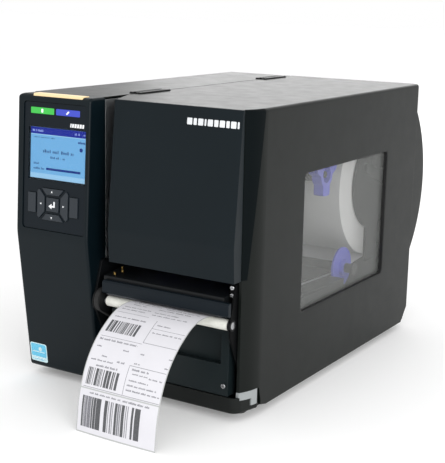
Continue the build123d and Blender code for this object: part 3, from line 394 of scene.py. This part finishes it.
class Shells:
    """Closed shells gathered into one mesh, each with its own finish."""

    def __init__(self):
        self.mesh = bmesh.new()
        self.finishes = []

    def index_of(self, finish):
        """Material index of a finish, added when it is new."""
        if finish not in self.finishes:
            self.finishes.append(finish)
        return self.finishes.index(finish)

    def rings(self, rings, finish):
        """Closed shell through rings of points, capped at both ends."""
        index = self.index_of(finish)
        loops = [[self.mesh.verts.new(point) for point in ring] for ring in rings]
        count = len(loops[0])
        faces = [self.mesh.faces.new(list(reversed(loops[0]))), self.mesh.faces.new(loops[-1])]
        for lower, upper in zip(loops, loops[1:]):
            for step in range(count):
                after = (step + 1) % count
                corners = (lower[step], lower[after], upper[after], upper[step])
                faces.append(self.mesh.faces.new(corners))
        for face in faces:
            face.material_index = index

    def prism(self, outline, low, high, place, finish, edge=0.0):
        """Outline in (u, v) carried from low to high, its outer edge eased by edge."""
        middle_u = sum(u for u, _ in outline) / len(outline)
        middle_v = sum(v for _, v in outline) / len(outline)
        rings = [[place(u, v, low) for u, v in outline]]
        if edge:
            reach = max(math.hypot(u - middle_u, v - middle_v) for u, v in outline)
            inner = 1.0 - edge / reach
            rings.append([place(u, v, high - edge) for u, v in outline])
            rings.append([place(middle_u + (u - middle_u) * inner,
                                middle_v + (v - middle_v) * inner, high) for u, v in outline])
        else:
            rings.append([place(u, v, high) for u, v in outline])
        self.rings(rings, finish)

    def slab(self, u_values, v_values, low, high, place, finish):
        """Thin closed plate on a grid of (u, v), for bent surfaces."""
        index = self.index_of(finish)
        lower, upper = (
            [[self.mesh.verts.new(place(u, v, w)) for v in v_values] for u in u_values]
            for w in (low, high)
        )
        last_u, last_v = len(u_values) - 1, len(v_values) - 1
        faces = []
        for i in range(last_u):
            for j in range(last_v):
                faces.append((upper[i][j], upper[i + 1][j], upper[i + 1][j + 1], upper[i][j + 1]))
                faces.append((lower[i][j], lower[i][j + 1], lower[i + 1][j + 1], lower[i + 1][j]))
        for i in range(last_u):
            faces.append((lower[i][0], lower[i + 1][0], upper[i + 1][0], upper[i][0]))
            faces.append((lower[i + 1][last_v], lower[i][last_v],
                          upper[i][last_v], upper[i + 1][last_v]))
        for j in range(last_v):
            faces.append((lower[0][j + 1], lower[0][j], upper[0][j], upper[0][j + 1]))
            faces.append((lower[last_u][j], lower[last_u][j + 1],
                          upper[last_u][j + 1], upper[last_u][j]))
        for corners in faces:
            self.mesh.faces.new(corners).material_index = index

    def build(self, name, body):
        """Make the object and let it ride on its body."""
        bmesh.ops.recalc_face_normals(self.mesh, faces=self.mesh.faces)
        data = bpy.data.meshes.new(name)
        self.mesh.to_mesh(data)
        self.mesh.free()
        for finish in self.finishes:
            data.materials.append(finish.material)
        data.shade_smooth()
        data.set_sharp_from_angle(angle=SHARP_FROM)
        piece = bpy.data.objects.new(name, data)
        bpy.context.scene.collection.objects.link(piece)
        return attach(piece, body)


def rounded_box(u0, u1, v0, v1, radius, steps=5):
    """Outline of a rectangle with rounded corners."""
    points = []
    corners = ((u1 - radius, v1 - radius, 0), (u0 + radius, v1 - radius, 90),
               (u0 + radius, v0 + radius, 180), (u1 - radius, v0 + radius, 270))
    for centre_u, centre_v, start in corners:
        for step in range(steps + 1):
            turn = math.radians(start + 90 * step / steps)
            points.append((centre_u + radius * math.cos(turn), centre_v + radius * math.sin(turn)))
    return points


def box_outline(u0, u1, v0, v1):
    """Outline of a plain rectangle."""
    return [(u0, v0), (u1, v0), (u1, v1), (u0, v1)]


def disc_outline(u, v, radius, count=16):
    """Outline of a disc."""
    turns = [2 * math.pi * step / count for step in range(count)]
    return [(u + radius * math.cos(turn), v + radius * math.sin(turn)) for turn in turns]


def triangle_outline(u, v, size, heading):
    """Small arrowhead that points along heading, in degrees."""
    turns = [math.radians(heading + step) for step in (0, 130, 230)]
    return [(u + size * math.cos(turn), v + size * math.sin(turn)) for turn in turns]


def dashes(shells, u0, u1, v, height, low, high, place, finish, seed, fill=0.8):
    """Row of short bars that reads as a line of small print without being any."""
    draw = random.Random(seed)
    u = u0
    while u < u1:
        word_end = min(u1, u + draw.uniform(3.0, 9.0) * height / 1.6)
        while u < word_end:
            width = draw.uniform(0.35, 0.75) * height
            if draw.random() < fill:
                top = v + height * draw.choice((0.72, 0.72, 1.0))
                bar = box_outline(u, min(u + width, word_end + 0.1), v, top)
                shells.prism(bar, low, high, place, finish)
            u += width + 0.22 * height
        u += 0.6 * height


# ------------------------------------------------------------------ control panel
BEZEL_FACE = -1.2               # off the panel's plane
KEY_FACE = 0.5
SCREEN_BACK, SCREEN_FACE = -5.9, -2.9
SCREEN_LEFT, SCREEN_RIGHT, SCREEN_FOOT, SCREEN_TOP = 17.75, 97.05, 63.95, 121.45
SCREEN_PRINT = 0.06             # height of the picture's marks
STATUS_BACK, STATUS_FOOT, STATUS_TOP = -7.5, 136.75, 143.65
STATUS_PLAY = 0.15              # gap at each end of a status window
SINK = 0.01                     # how far the picture's marks reach into what they lie on
MARK_SINK = 0.02                # the same for marks on the printer's faces
SCREEN_TEXT = (                 # left, right, foot, height, finish, seed, share of bars kept
    (20.5, 53.0, 109.6, 1.6, SCREEN_INK, 5, 0.7),
    (86.5, 96.0, 107.4, 2.8, SCREEN_DARK, 6, 0.8),
    (36.0, 80.0, 93.4, 3.6, SCREEN_INK, 7, 0.9),
    (47.0, 68.0, 87.4, 2.4, SCREEN_INK, 8, 0.8),
    (22.5, 30.0, 79.4, 2.2, SCREEN_INK, 9, 0.8),
    (22.5, 38.0, 73.8, 2.4, SCREEN_INK, 10, 0.8),
)


def make_screen():
    """Picture of a generic status page behind the lens."""
    shells = Shells()
    back, top = SCREEN_FACE - SINK, SCREEN_FACE + SCREEN_PRINT
    page = box_outline(SCREEN_LEFT, SCREEN_RIGHT, SCREEN_FOOT, SCREEN_TOP)
    shells.prism(page, SCREEN_BACK, SCREEN_FACE, PANEL, SCREEN_BLUE)
    for outline, finish in (
        (box_outline(SCREEN_LEFT, SCREEN_RIGHT, 113.9, SCREEN_TOP), SCREEN_HEADER),
        (box_outline(SCREEN_LEFT, SCREEN_RIGHT, SCREEN_FOOT, 69.6), SCREEN_EDGE),
        (box_outline(SCREEN_LEFT, SCREEN_RIGHT, 112.9, 113.9), SCREEN_EDGE),
        (box_outline(41.0, 90.6, 74.0, 76.6), SCREEN_DARK),
    ):
        shells.prism(outline, back, top, PANEL, finish)
    for left, right, seed in ((20.5, 36.0, 3), (81.5, 96.0, 4)):
        dashes(shells, left, right, 116.4, 2.4, top - SINK, top + 0.04, PANEL, SCREEN_WHITE, seed)
    shells.prism(disc_outline(90.8, 100.6, 2.3), back, top, PANEL, SCREEN_DARK)
    for left, right, foot, height, finish, seed, fill in SCREEN_TEXT:
        dashes(shells, left, right, foot, height, back, top, PANEL, finish, seed, fill)
    shells.build("screen_picture", "chassis")


def make_status_lights():
    """The two status windows, each with a bright symbol in its middle."""
    places = (("status_light_left", 18.6, 52.6, FINISHES["status_lens"]),
              ("status_light_right", 55.2, 89.4, STATUS_BLUE))
    for name, left, right, finish in places:
        shells = Shells()
        outline = rounded_box(left + STATUS_PLAY, right - STATUS_PLAY,
                              STATUS_FOOT, STATUS_TOP, 0.9)
        face = BEZEL_FACE + 0.3
        shells.prism(outline, STATUS_BACK, face, PANEL, finish, edge=0.3)
        middle = (left + right) / 2
        if finish is STATUS_BLUE:
            mark = [(middle - 2.6, 138.6), (middle - 0.6, 138.2), (middle + 2.4, 141.0),
                    (middle + 1.6, 142.2), (middle - 0.4, 141.4)]
        else:
            mark = rounded_box(middle - 1.5, middle + 1.5, 138.0, 142.4, 1.1)
        shells.prism(mark, face - MARK_SINK, face + 0.04, PANEL, ICON_WHITE_BACKLIT_AND_PAINTED_GLOW)
        shells.build(name, "chassis")
    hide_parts("status_lenses")


def make_key_symbols():
    """White symbols on the keys, with a painted glow."""
    symbols = {
        "key_up": [triangle_outline(52.9, 50.4, 1.5, 90)],
        "key_down": [triangle_outline(52.9, 20.8, 1.5, 270)],
        "key_left": [triangle_outline(36.9, 35.8, 1.5, 180)],
        "key_right": [triangle_outline(69.9, 35.6, 1.5, 0)],
        "key_enter": [
            [(55.6, 39.6), (57.6, 39.6), (57.6, 33.0), (52.4, 33.0), (52.4, 34.9), (55.6, 34.9)],
            [(53.0, 30.9), (53.0, 37.0), (48.4, 33.9)],
        ],
    }
    for key, outlines in symbols.items():
        shells = Shells()
        for outline in outlines:
            shells.prism(outline, KEY_FACE - MARK_SINK, KEY_FACE + 0.05, PANEL, ICON_WHITE_BACKLIT_AND_PAINTED_GLOW)
        shells.build(key + "_symbol", key)


# ------------------------------------------------------------------ plain marks
PANEL_MARK = (76.0, 95.0, 124.8, 129.0)         # left, right, foot and top
PANEL_MARK_WIDTHS, PANEL_MARK_GAP, PANEL_MARK_LEAN = (1.6, 2.4, 3.0), 0.9, 0.5
COVER_MARK_LEFT, COVER_MARK_FOOT, COVER_MARK_TOP = 221.5, 124.3, 131.4
COVER_MARK_WIDTHS = (6.4, 4.0, 6.4, 2.2, 6.4, 5.0, 6.4, 4.0, 6.4, 2.2)
COVER_MARK_GAP = 1.6
STICKER_SHEET, STICKER_FIELD, STICKER_SIGNS = (-MARK_SINK, 0.14), (0.13, 0.17), (0.16, 0.19)


def make_panel_mark():
    """Slanted bars beside the display, where the real machine carries a text; their glow is painted
    light.
    """
    shells = Shells()
    draw = random.Random(21)
    left, right, foot, top = PANEL_MARK
    while left < right:
        width = draw.choice(PANEL_MARK_WIDTHS)
        bar = [(left, foot), (left + width, foot),
               (left + width + PANEL_MARK_LEAN, top), (left + PANEL_MARK_LEAN, top)]
        shells.prism(bar, BEZEL_FACE - MARK_SINK, BEZEL_FACE + 0.06, PANEL, ICON_WHITE_BACKLIT_AND_PAINTED_GLOW)
        left += width + PANEL_MARK_GAP
    shells.build("panel_mark", "chassis")


def make_cover_mark():
    """Plain bars on the cover's front, where the real machine carries a word."""
    shells = Shells()
    left = COVER_MARK_LEFT
    for width in COVER_MARK_WIDTHS:
        bar = rounded_box(left, left + width, COVER_MARK_FOOT, COVER_MARK_TOP, 0.8, 3)
        shells.prism(bar, -MARK_SINK, 0.25, COVER_FACE, MARK_WHITE, edge=0.15)
        left += width + COVER_MARK_GAP
    shells.build("cover_mark", "media_cover")


def make_sticker():
    """Plain two-tone sticker low on the control column."""
    shells = Shells()
    sheet = rounded_box(3.4, 28.6, 6.4, 30.0, 2.6)
    field = rounded_box(4.6, 27.4, 12.6, 28.8, 1.8)
    shells.prism(sheet, *STICKER_SHEET, TOE, STICKER_PALE, edge=0.05)
    shells.prism(field, *STICKER_FIELD, TOE, STICKER_BLUE)
    shells.prism(box_outline(6.0, 25.0, 18.2, 19.3), *STICKER_SIGNS, TOE, STICKER_PALE)
    shells.prism(disc_outline(18.5, 22.6, 2.6), *STICKER_SIGNS, TOE, STICKER_PALE)
    dashes(shells, 6.0, 26.0, 8.2, 2.0, 0.13, 0.16, TOE, STICKER_BLUE, 31)
    shells.build("fascia_sticker", "chassis")


# ------------------------------------------------------------------ skin on the cover's corner, partly painted shade
CORNER_RUN, CORNER_SET_IN = 31.5, 8.5      # depth and width of the rounded corner in plan
CORNER_BACK = 50.0
CORNER_RADIUS = (CORNER_RUN ** 2 + CORNER_SET_IN ** 2) / (2.0 * CORNER_SET_IN)
CORNER_TURN = math.asin(CORNER_RUN / CORNER_RADIUS)
TOP_FILLET = 4.0
CORNER_FLAT_TOP = CASING_HEIGHT - TOP_FILLET
SKIN_FOOT = 151.6
SKIN_SHARE_FOOT, SKIN_SHARE_TOP = 0.2, 0.86
SKIN_LOW, SKIN_HIGH = -0.05, 0.12
SKIN_COLUMNS = 12


def corner_place(share, height, w):
    """Point on the cover's rounded corner: share of its sweep from the front, w off its face."""
    turn = CORNER_TURN * (1.0 - share)
    roll = max(0.0, height - CORNER_FLAT_TOP) / TOP_FILLET
    reach = CORNER_RADIUS - TOP_FILLET + (TOP_FILLET + w) * math.cos(roll)
    z = min(height, CORNER_FLAT_TOP) + (TOP_FILLET + w) * math.sin(roll)
    x = CASING_WIDTH - CORNER_RADIUS + reach * math.cos(turn)
    return casing(x, CORNER_BACK - reach * math.sin(turn), z)


def make_corner_painted_shade():
    """Dark skin that carries the cover's front round the corner, narrower towards its foot: the
    front moulding's dark wrap, with painted shade making it darker and duller than that moulding.
    """
    def place(u, v, w):
        risen = (v - SKIN_FOOT) / (CORNER_FLAT_TOP - SKIN_FOOT)
        share = SKIN_SHARE_FOOT + (SKIN_SHARE_TOP - SKIN_SHARE_FOOT) * risen
        return corner_place(u * min(share, SKIN_SHARE_TOP), v, w)

    shells = Shells()
    columns = [step / SKIN_COLUMNS for step in range(SKIN_COLUMNS + 1)]
    heights = steps_between(SKIN_FOOT, CORNER_FLAT_TOP, 12.0)
    for angle in (15, 30, 45, 60, 75):
        heights.append(CORNER_FLAT_TOP + TOP_FILLET * math.radians(angle))
    shells.slab(columns, heights, SKIN_LOW, SKIN_HIGH, place, CORNER_WRAP_PAINTED_SHADE)
    shells.build("cover_corner_painted_shade", "media_cover")


# ------------------------------------------------------------------ issued labels
def rounded_route(points, radii, step):
    """Points along straight runs joined by arcs of the given radii."""
    made = [Vector(points[0])]
    for before, corner, after, radius in zip(points, points[1:], points[2:], radii):
        back = (Vector(before) - Vector(corner)).normalized()
        ahead = (Vector(after) - Vector(corner)).normalized()
        half = back.angle(ahead) / 2
        centre = Vector(corner) + (back + ahead).normalized() * radius / math.sin(half)
        start = Vector(corner) + back * radius / math.tan(half) - centre
        end = Vector(corner) + ahead * radius / math.tan(half) - centre
        sweep = math.atan2(start.cross(end), start.dot(end))
        count = max(2, round(abs(sweep) * radius / step))
        for index in range(count + 1):
            turn = sweep * index / count
            offset = Vector((start.x * math.cos(turn) - start.y * math.sin(turn),
                             start.x * math.sin(turn) + start.y * math.cos(turn)))
            made.append(centre + offset)
    made.append(Vector(points[-1]))
    return made


STRIP_LEFT, STRIP_RIGHT = 160.2, 261.8
STRIP_MIDDLE, STRIP_HALF = (STRIP_LEFT + STRIP_RIGHT) / 2, (STRIP_RIGHT - STRIP_LEFT) / 2
STRIP_CORNERS = [(11.8, 110.3), (-22.0, 115.5), (-75.0, 80.0), (-93.5, 30.0), (-97.7, -5.85)]
STRIP_ROUTE = rounded_route(STRIP_CORNERS, [60.0, 100.0, 110.0], 2.0)       # (Y, Z) down the strip
STRIP_REACH = [0.0]
for first, second in zip(STRIP_ROUTE, STRIP_ROUTE[1:]):
    STRIP_REACH.append(STRIP_REACH[-1] + (second - first).length)
STRIP_LENGTH = STRIP_REACH[-1]
CURL_START, CURL_RUN, CURL_DROP = 40.0, 110.0, 1.3      # the free end curls back at its edges
STRIP_COLUMN = 4.0                                      # width of one column of faces

LINER_LOW, LINER_HIGH = 0.0, 0.13
LABEL_LOW, LABEL_HIGH = 0.14, 0.25
INK_LOW, INK_HIGH = 0.26, 0.29
LABEL_INSET = 1.1
LABEL_FOLD, HALF_FOLD_GAP = 135.4, 0.7                  # between the two labels
LABEL_END_GAP = 1.5


def strip_place(x, s, w):
    """Point on the issued strip: x across, s from the platen along it, w off its face."""
    s = min(max(s, 0.0), STRIP_LENGTH)
    index = max(i for i, reach in enumerate(STRIP_REACH[:-1]) if reach <= s)
    start, end = STRIP_ROUTE[index], STRIP_ROUTE[index + 1]
    share = (s - STRIP_REACH[index]) / (STRIP_REACH[index + 1] - STRIP_REACH[index])
    spot = start.lerp(end, share)
    run = (end - start).normalized()
    free = min(1.0, max(0.0, (s - CURL_START) / CURL_RUN))
    across = (x - STRIP_MIDDLE) / STRIP_HALF
    w -= CURL_DROP * free * free * across * across
    return casing(x, spot.x + run.y * w, spot.y - run.x * w)


def steps_between(low, high, size):
    """Even steps from low to high, none longer than size."""
    count = max(1, math.ceil((high - low) / size))
    return [low + (high - low) * index / count for index in range(count + 1)]


def on_strip(shells, x0, x1, s0, s1, low, high, finish):
    """Thin patch that follows the strip."""
    breaks = [reach for reach in STRIP_REACH if s0 + 0.05 < reach < s1 - 0.05]
    columns = steps_between(x0, x1, STRIP_COLUMN)
    shells.slab(columns, [s0, *breaks, s1], low, high, strip_place, finish)


def printed(shells, x0, x1, s0, s1, finish):
    """Patch of ink on the labels."""
    on_strip(shells, x0, x1, s0, s1, INK_LOW, INK_HIGH, finish)


def print_bars(shells, x0, x1, s0, s1, widths, seed):
    """Row of upright bars with made-up widths."""
    draw = random.Random(seed)
    x = x0
    while x < x1:
        width = min(draw.choice(widths), x1 - x)
        printed(shells, x, x + width, s0, s1, PRINT_BLACK)
        x += width + draw.choice(widths[:-1])


def print_words(shells, x0, x1, s, height, seed):
    """Line of short dashes on the strip."""
    draw = random.Random(seed)
    x = x0
    while x < x1:
        word_end = min(x1, x + draw.uniform(3.0, 10.0))
        while x < word_end:
            width = draw.uniform(0.5, 1.1)
            top = s + height * draw.choice((0.25, 0.25, 0.0))
            printed(shells, x, min(x + width, word_end + 0.1), top, s + height, PRINT_GREY)
            x += width + 0.35
        x += 1.2


# Widest block of bars: each bar's start from the block's left end, width, and if it is dark.
BLOCK_LEFT, BLOCK_TOP, BLOCK_FOOT = 166.0, 143.0, 176.0
BLOCK_BARS = (
    (0.0, 2.2, True), (2.7, 1.0, False), (4.1, 3.0, False), (7.6, 4.4, False),
    (12.6, 2.0, True), (15.2, 3.2, True), (18.8, 6.2, True), (29.6, 4.0, True),
    (34.6, 0.9, False), (37.4, 1.6, False), (40.0, 0.9, False), (43.0, 3.0, True),
    (46.6, 2.0, False), (49.2, 1.4, False), (51.6, 3.6, True), (56.6, 1.0, False),
    (59.0, 0.9, False), (64.0, 2.6, True), (68.2, 6.6, True),
)
# Ruled lines: left, right, and their two distances along the strip.
RULES = (
    (218.0, 218.5, 45.0, 75.4), (218.0, 260.0, 75.0, 75.5), (164.0, 218.0, 77.0, 77.4),
    (218.0, 260.0, 56.0, 56.4), (214.6, 215.1, 102.5, 133.0), (214.6, 260.0, 102.2, 102.7),
    (164.0, 260.0, 133.4, 133.9), (164.0, 205.0, 42.0, 42.4),
)
# Lines of small print: left, right, distance along the strip, and height.
WORDS = (
    (170.0, 196.0, 10.0, 2.2), (206.0, 232.0, 11.0, 1.6), (168.0, 204.0, 16.0, 1.6),
    (212.0, 254.0, 17.0, 1.6), (172.0, 190.0, 22.0, 1.6), (206.0, 246.0, 23.0, 1.6),
    (166.0, 200.0, 30.0, 1.5), (206.0, 236.0, 31.0, 1.5), (166.0, 196.0, 35.0, 1.5),
    (206.0, 250.0, 36.0, 1.5), (188.0, 206.0, 48.5, 2.0), (166.0, 186.0, 48.8, 1.6),
    (222.0, 240.0, 50.0, 1.6), (222.0, 258.0, 60.5, 1.5), (165.0, 214.0, 79.6, 2.2),
    (166.0, 172.0, 88.5, 1.6), (200.0, 207.0, 87.8, 1.6), (222.0, 228.0, 87.6, 1.6),
    (257.0, 261.0, 86.4, 1.6), (256.0, 260.0, 96.6, 1.6), (177.0, 184.0, 98.4, 1.6),
    (219.0, 226.0, 98.6, 1.6), (165.0, 194.0, 103.6, 1.6), (198.0, 208.0, 100.8, 2.2),
    (174.0, 202.0, 108.8, 2.2), (219.0, 240.0, 104.8, 2.2), (221.0, 240.0, 109.6, 1.4),
    (242.0, 258.0, 110.6, 1.6), (219.0, 243.0, 116.4, 1.6), (218.0, 254.0, 121.4, 1.8),
    (218.0, 259.0, 126.4, 1.8), (174.0, 214.0, 138.2, 1.8), (217.0, 250.0, 138.0, 2.2),
)
FIRST_WORD_SEED = 100
# Rows of narrow bars: left, right, their two distances along the strip, bar widths, and seed.
BAR_ROWS = (
    (166.0, 205.0, 55.5, 71.0, (0.6, 1.0, 1.5, 3.0), 41),
    (166.0, 206.0, 113.0, 131.0, (0.7, 1.1, 1.7, 3.2), 42),
)


def print_labels():
    """All the ink on the two labels, as one piece."""
    shells = Shells()
    for row in BAR_ROWS:
        print_bars(shells, *row)
    for start, width, dark in BLOCK_BARS:
        left = BLOCK_LEFT + start
        finish = PRINT_BLACK if dark else PRINT_GREY
        printed(shells, left, left + width, BLOCK_TOP, BLOCK_FOOT, finish)
    for left, right, near, far in RULES:
        printed(shells, left, right, near, far, PRINT_GREY)
    for seed, (left, right, s, height) in enumerate(WORDS, FIRST_WORD_SEED):
        print_words(shells, left, right, s, height, seed)
    return shells.build("label_print", "chassis")


def make_labels():
    """Liner with two die-cut labels on it, and their print."""
    shells = Shells()
    columns = steps_between(STRIP_LEFT, STRIP_RIGHT, STRIP_COLUMN)
    shells.slab(columns, STRIP_REACH, LINER_LOW, LINER_HIGH, strip_place, LINER)
    strip = shells.build("issued_liner", "chassis")
    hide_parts("label_strip")

    shells = Shells()
    left, right = STRIP_LEFT + LABEL_INSET, STRIP_RIGHT - LABEL_INSET
    for start, end in ((0.0, LABEL_FOLD - HALF_FOLD_GAP),
                       (LABEL_FOLD + HALF_FOLD_GAP, STRIP_LENGTH - LABEL_END_GAP)):
        on_strip(shells, left, right, start, end, LABEL_LOW, LABEL_HIGH, FINISHES["label_paper"])
    labels = shells.build("issued_labels", "chassis")

    mark = print_labels()


# ------------------------------------------------------------------ small hardware
# Pan head of radius 3: heights, each with its share of the radius.
HEAD_RADIUS, HEAD_TOP, RECESS_FLOOR = 3.0, 1.7, 0.9
HEAD_PROFILE = ((0.0, 1.0), (0.5, 1.0), (1.1, 0.92), (1.5, 0.72), (HEAD_TOP, 0.42))
HEAD_POINTS = 24
ARM_SHARE, HOLLOW_SHARE = 0.34, 0.12            # reach of the cross recess


def screw_head(shells, centre, outward, radius, finish):
    """Pan head with a cross recess cut as a shallow star."""
    side = outward.orthogonal().normalized()
    up = outward.cross(side)

    def place(u, v, w):
        return centre + (side * u + up * v + outward * w) * MM

    rings = []
    for height, share in HEAD_PROFILE:
        rings.append([place(u * share, v * share, height * radius / HEAD_RADIUS)
                      for u, v in disc_outline(0.0, 0.0, radius, HEAD_POINTS)])
    star = []
    for step in range(HEAD_POINTS):
        turn = math.radians(360 / HEAD_POINTS * step)
        arm = HOLLOW_SHARE if step % (HEAD_POINTS // 4) else ARM_SHARE
        star.append((radius * arm * math.cos(turn), radius * arm * math.sin(turn)))
    rings.append([place(u, v, HEAD_TOP * radius / HEAD_RADIUS) for u, v in star])
    rings.append([place(u * 0.8, v * 0.8, RECESS_FLOOR * radius / HEAD_RADIUS)
                  for u, v in star])
    shells.rings(rings, finish)


SCREW_RADIUS = 3.0
REAR_SCREWS = (         # X and Z on the two rear panels
    (8.0, 20.0), (8.0, 190.0), (8.0, 318.0), (96.0, 20.0), (96.0, 318.0),
    (112.0, 18.0), (284.0, 18.0), (284.0, 322.0), (112.0, 322.0),
)
HINGE_SPANS = ((81.0, 141.0), (366.0, 423.0))       # front and back of each hinge
FIXED_CAP, MOVING_CAP = (95.4, 100.4), (106.8, 112.4)       # left and right of the caps
CAP_FOOT, CAP_HEIGHT = CASING_HEIGHT - 0.1, 1.8
SPRINGS = ((124.6, 30.0, 136.6), (131.0, 22.0, 135.8), (128.0, 12.0, 134.7))    # foot of each
SPRING_TURNS, SPRING_STEP = 9, 0.42
SPRING_OUTER, SPRING_INNER = 1.9, 1.4


def make_rear_screws():
    """Case screws in the two rear panels."""
    shells = Shells()
    for x, z in REAR_SCREWS:
        seat = casing(x, CASING_BACK, z)
        screw_head(shells, seat, Vector((0.0, 1.0, 0.0)), SCREW_RADIUS, FINISHES["polished_steel"])
    shells.build("rear_screws", "chassis")


def hinge_cap(name, body, left, right, span):
    """Rounded cover strip beside a hinge knuckle, standing on the top panel."""
    def place(u, v, w):
        return casing(u, v, CAP_FOOT + w)

    shells = Shells()
    outline = rounded_box(left, right, *span, 1.6)
    shells.prism(outline, 0.0, CAP_HEIGHT, place, FINISHES["black_plastic"], edge=0.7)
    shells.build(name, body)


def make_hinge_caps():
    """A fixed and a moving cap at each hinge."""
    for number, span in enumerate(HINGE_SPANS, 1):
        hinge_cap("hinge_cap_fixed_%d" % number, "chassis", *FIXED_CAP, span)
        hinge_cap("hinge_cap_moving_%d" % number, "media_cover", *MOVING_CAP, span)


def make_springs():
    """Brass pressure springs on the left end of the printhead."""
    shells = Shells()
    for x, y, foot in SPRINGS:
        rings = []
        for step in range(SPRING_TURNS):
            outline = disc_outline(x, y, SPRING_OUTER if step % 2 else SPRING_INNER, 14)
            rings.append([casing(u, v, foot + SPRING_STEP * step) for u, v in outline])
        shells.rings(rings, SPRING_BRASS)
    shells.build("pressure_springs", "printhead")


make_screen()
make_status_lights()
make_key_symbols()
make_panel_mark()
make_cover_mark()
make_sticker()
make_corner_painted_shade()
make_labels()
make_rear_screws()
make_hinge_caps()
make_springs()


# ------------------------------------------------------------------ room, light and camera
WHITE = (1.0, 1.0, 1.0, 1.0)
FLOOR_REACH = 12.0
PANELS = (              # name, place, point it faces, size and radiance
    ("panel_front", (0.2, -2.6, 2.2), (0.0, -0.1, 0.1), (2.4, 1.2), 0.6),
    ("panel_right", (1.7, -1.25, 0.7), (0.05, 0.12, 0.2), (1.0, 0.9), 7.0),
    ("panel_back", (-0.9, 2.8, 1.05), (0.0, 0.0, 0.33), (2.2, 1.2), 1.75),
)
CAMERA_PLACE = Vector((0.7082, -1.1330, 0.4556))
AZIMUTH, PITCH, ROLL = math.radians(31.92), math.radians(12.49), math.radians(1.17)
SENSOR, LENS = 36.0, 85.38


def area_light(name, place, target, size, radiance):
    """Soft white panel of a given size and brightness, which the camera doesn't see."""
    data = bpy.data.lights.new(name, "AREA")
    data.shape = "RECTANGLE"
    data.size, data.size_y = size
    data.energy = math.pi * size[0] * size[1] * radiance
    lamp = bpy.data.objects.new(name, data)
    bpy.context.scene.collection.objects.link(lamp)
    lamp.location = place
    lamp.rotation_euler = (Vector(target) - Vector(place)).to_track_quat("-Z", "Y").to_euler()
    lamp.visible_camera = False


def make_floor():
    """Pale floor under the printer."""
    data = bpy.data.meshes.new("floor")
    floor_mesh = bmesh.new()
    bmesh.ops.create_grid(floor_mesh, x_segments=8, y_segments=8, size=FLOOR_REACH)
    floor_mesh.to_mesh(data)
    floor_mesh.free()
    floor = bpy.data.objects.new("floor", data)
    bpy.context.scene.collection.objects.link(floor)
    finish = Finish("floor_pale", rgb(238, 238, 238), 0.8)
    finish.mottle(1.5, 0.01).uneven_gloss(3.0, 0.05).set(Specular_IOR_Level=0.1)
    finish.glow(WHITE, 0.16)
    data.materials.append(finish.material)


def make_world():
    """Even white surroundings."""
    world = bpy.data.worlds.new("studio")
    world.use_nodes = True
    background = world.node_tree.nodes["Background"]
    background.inputs["Color"].default_value = WHITE
    background.inputs["Strength"].default_value = 1.0
    bpy.context.scene.world = world


def make_camera():
    """Camera at a given heading, pitch and roll."""
    ahead = Vector((-math.sin(AZIMUTH) * math.cos(PITCH), math.cos(AZIMUTH) * math.cos(PITCH),
                    -math.sin(PITCH)))
    level = ahead.cross(Vector((0.0, 0.0, 1.0))).normalized()
    upward = level.cross(ahead)
    right = level * math.cos(ROLL) + upward * math.sin(ROLL)
    above = upward * math.cos(ROLL) - level * math.sin(ROLL)
    data = bpy.data.cameras.new("camera")
    data.sensor_width = SENSOR
    data.lens = LENS
    camera = bpy.data.objects.new("camera", data)
    bpy.context.scene.collection.objects.link(camera)
    facing = Matrix((right, above, -ahead)).transposed().to_4x4()
    camera.matrix_world = Matrix.Translation(CAMERA_PLACE) @ facing
    bpy.context.scene.camera = camera


make_floor()
make_world()
for panel in PANELS:
    area_light(*panel)
make_camera()
bpy.context.scene.view_settings.view_transform = "Standard"
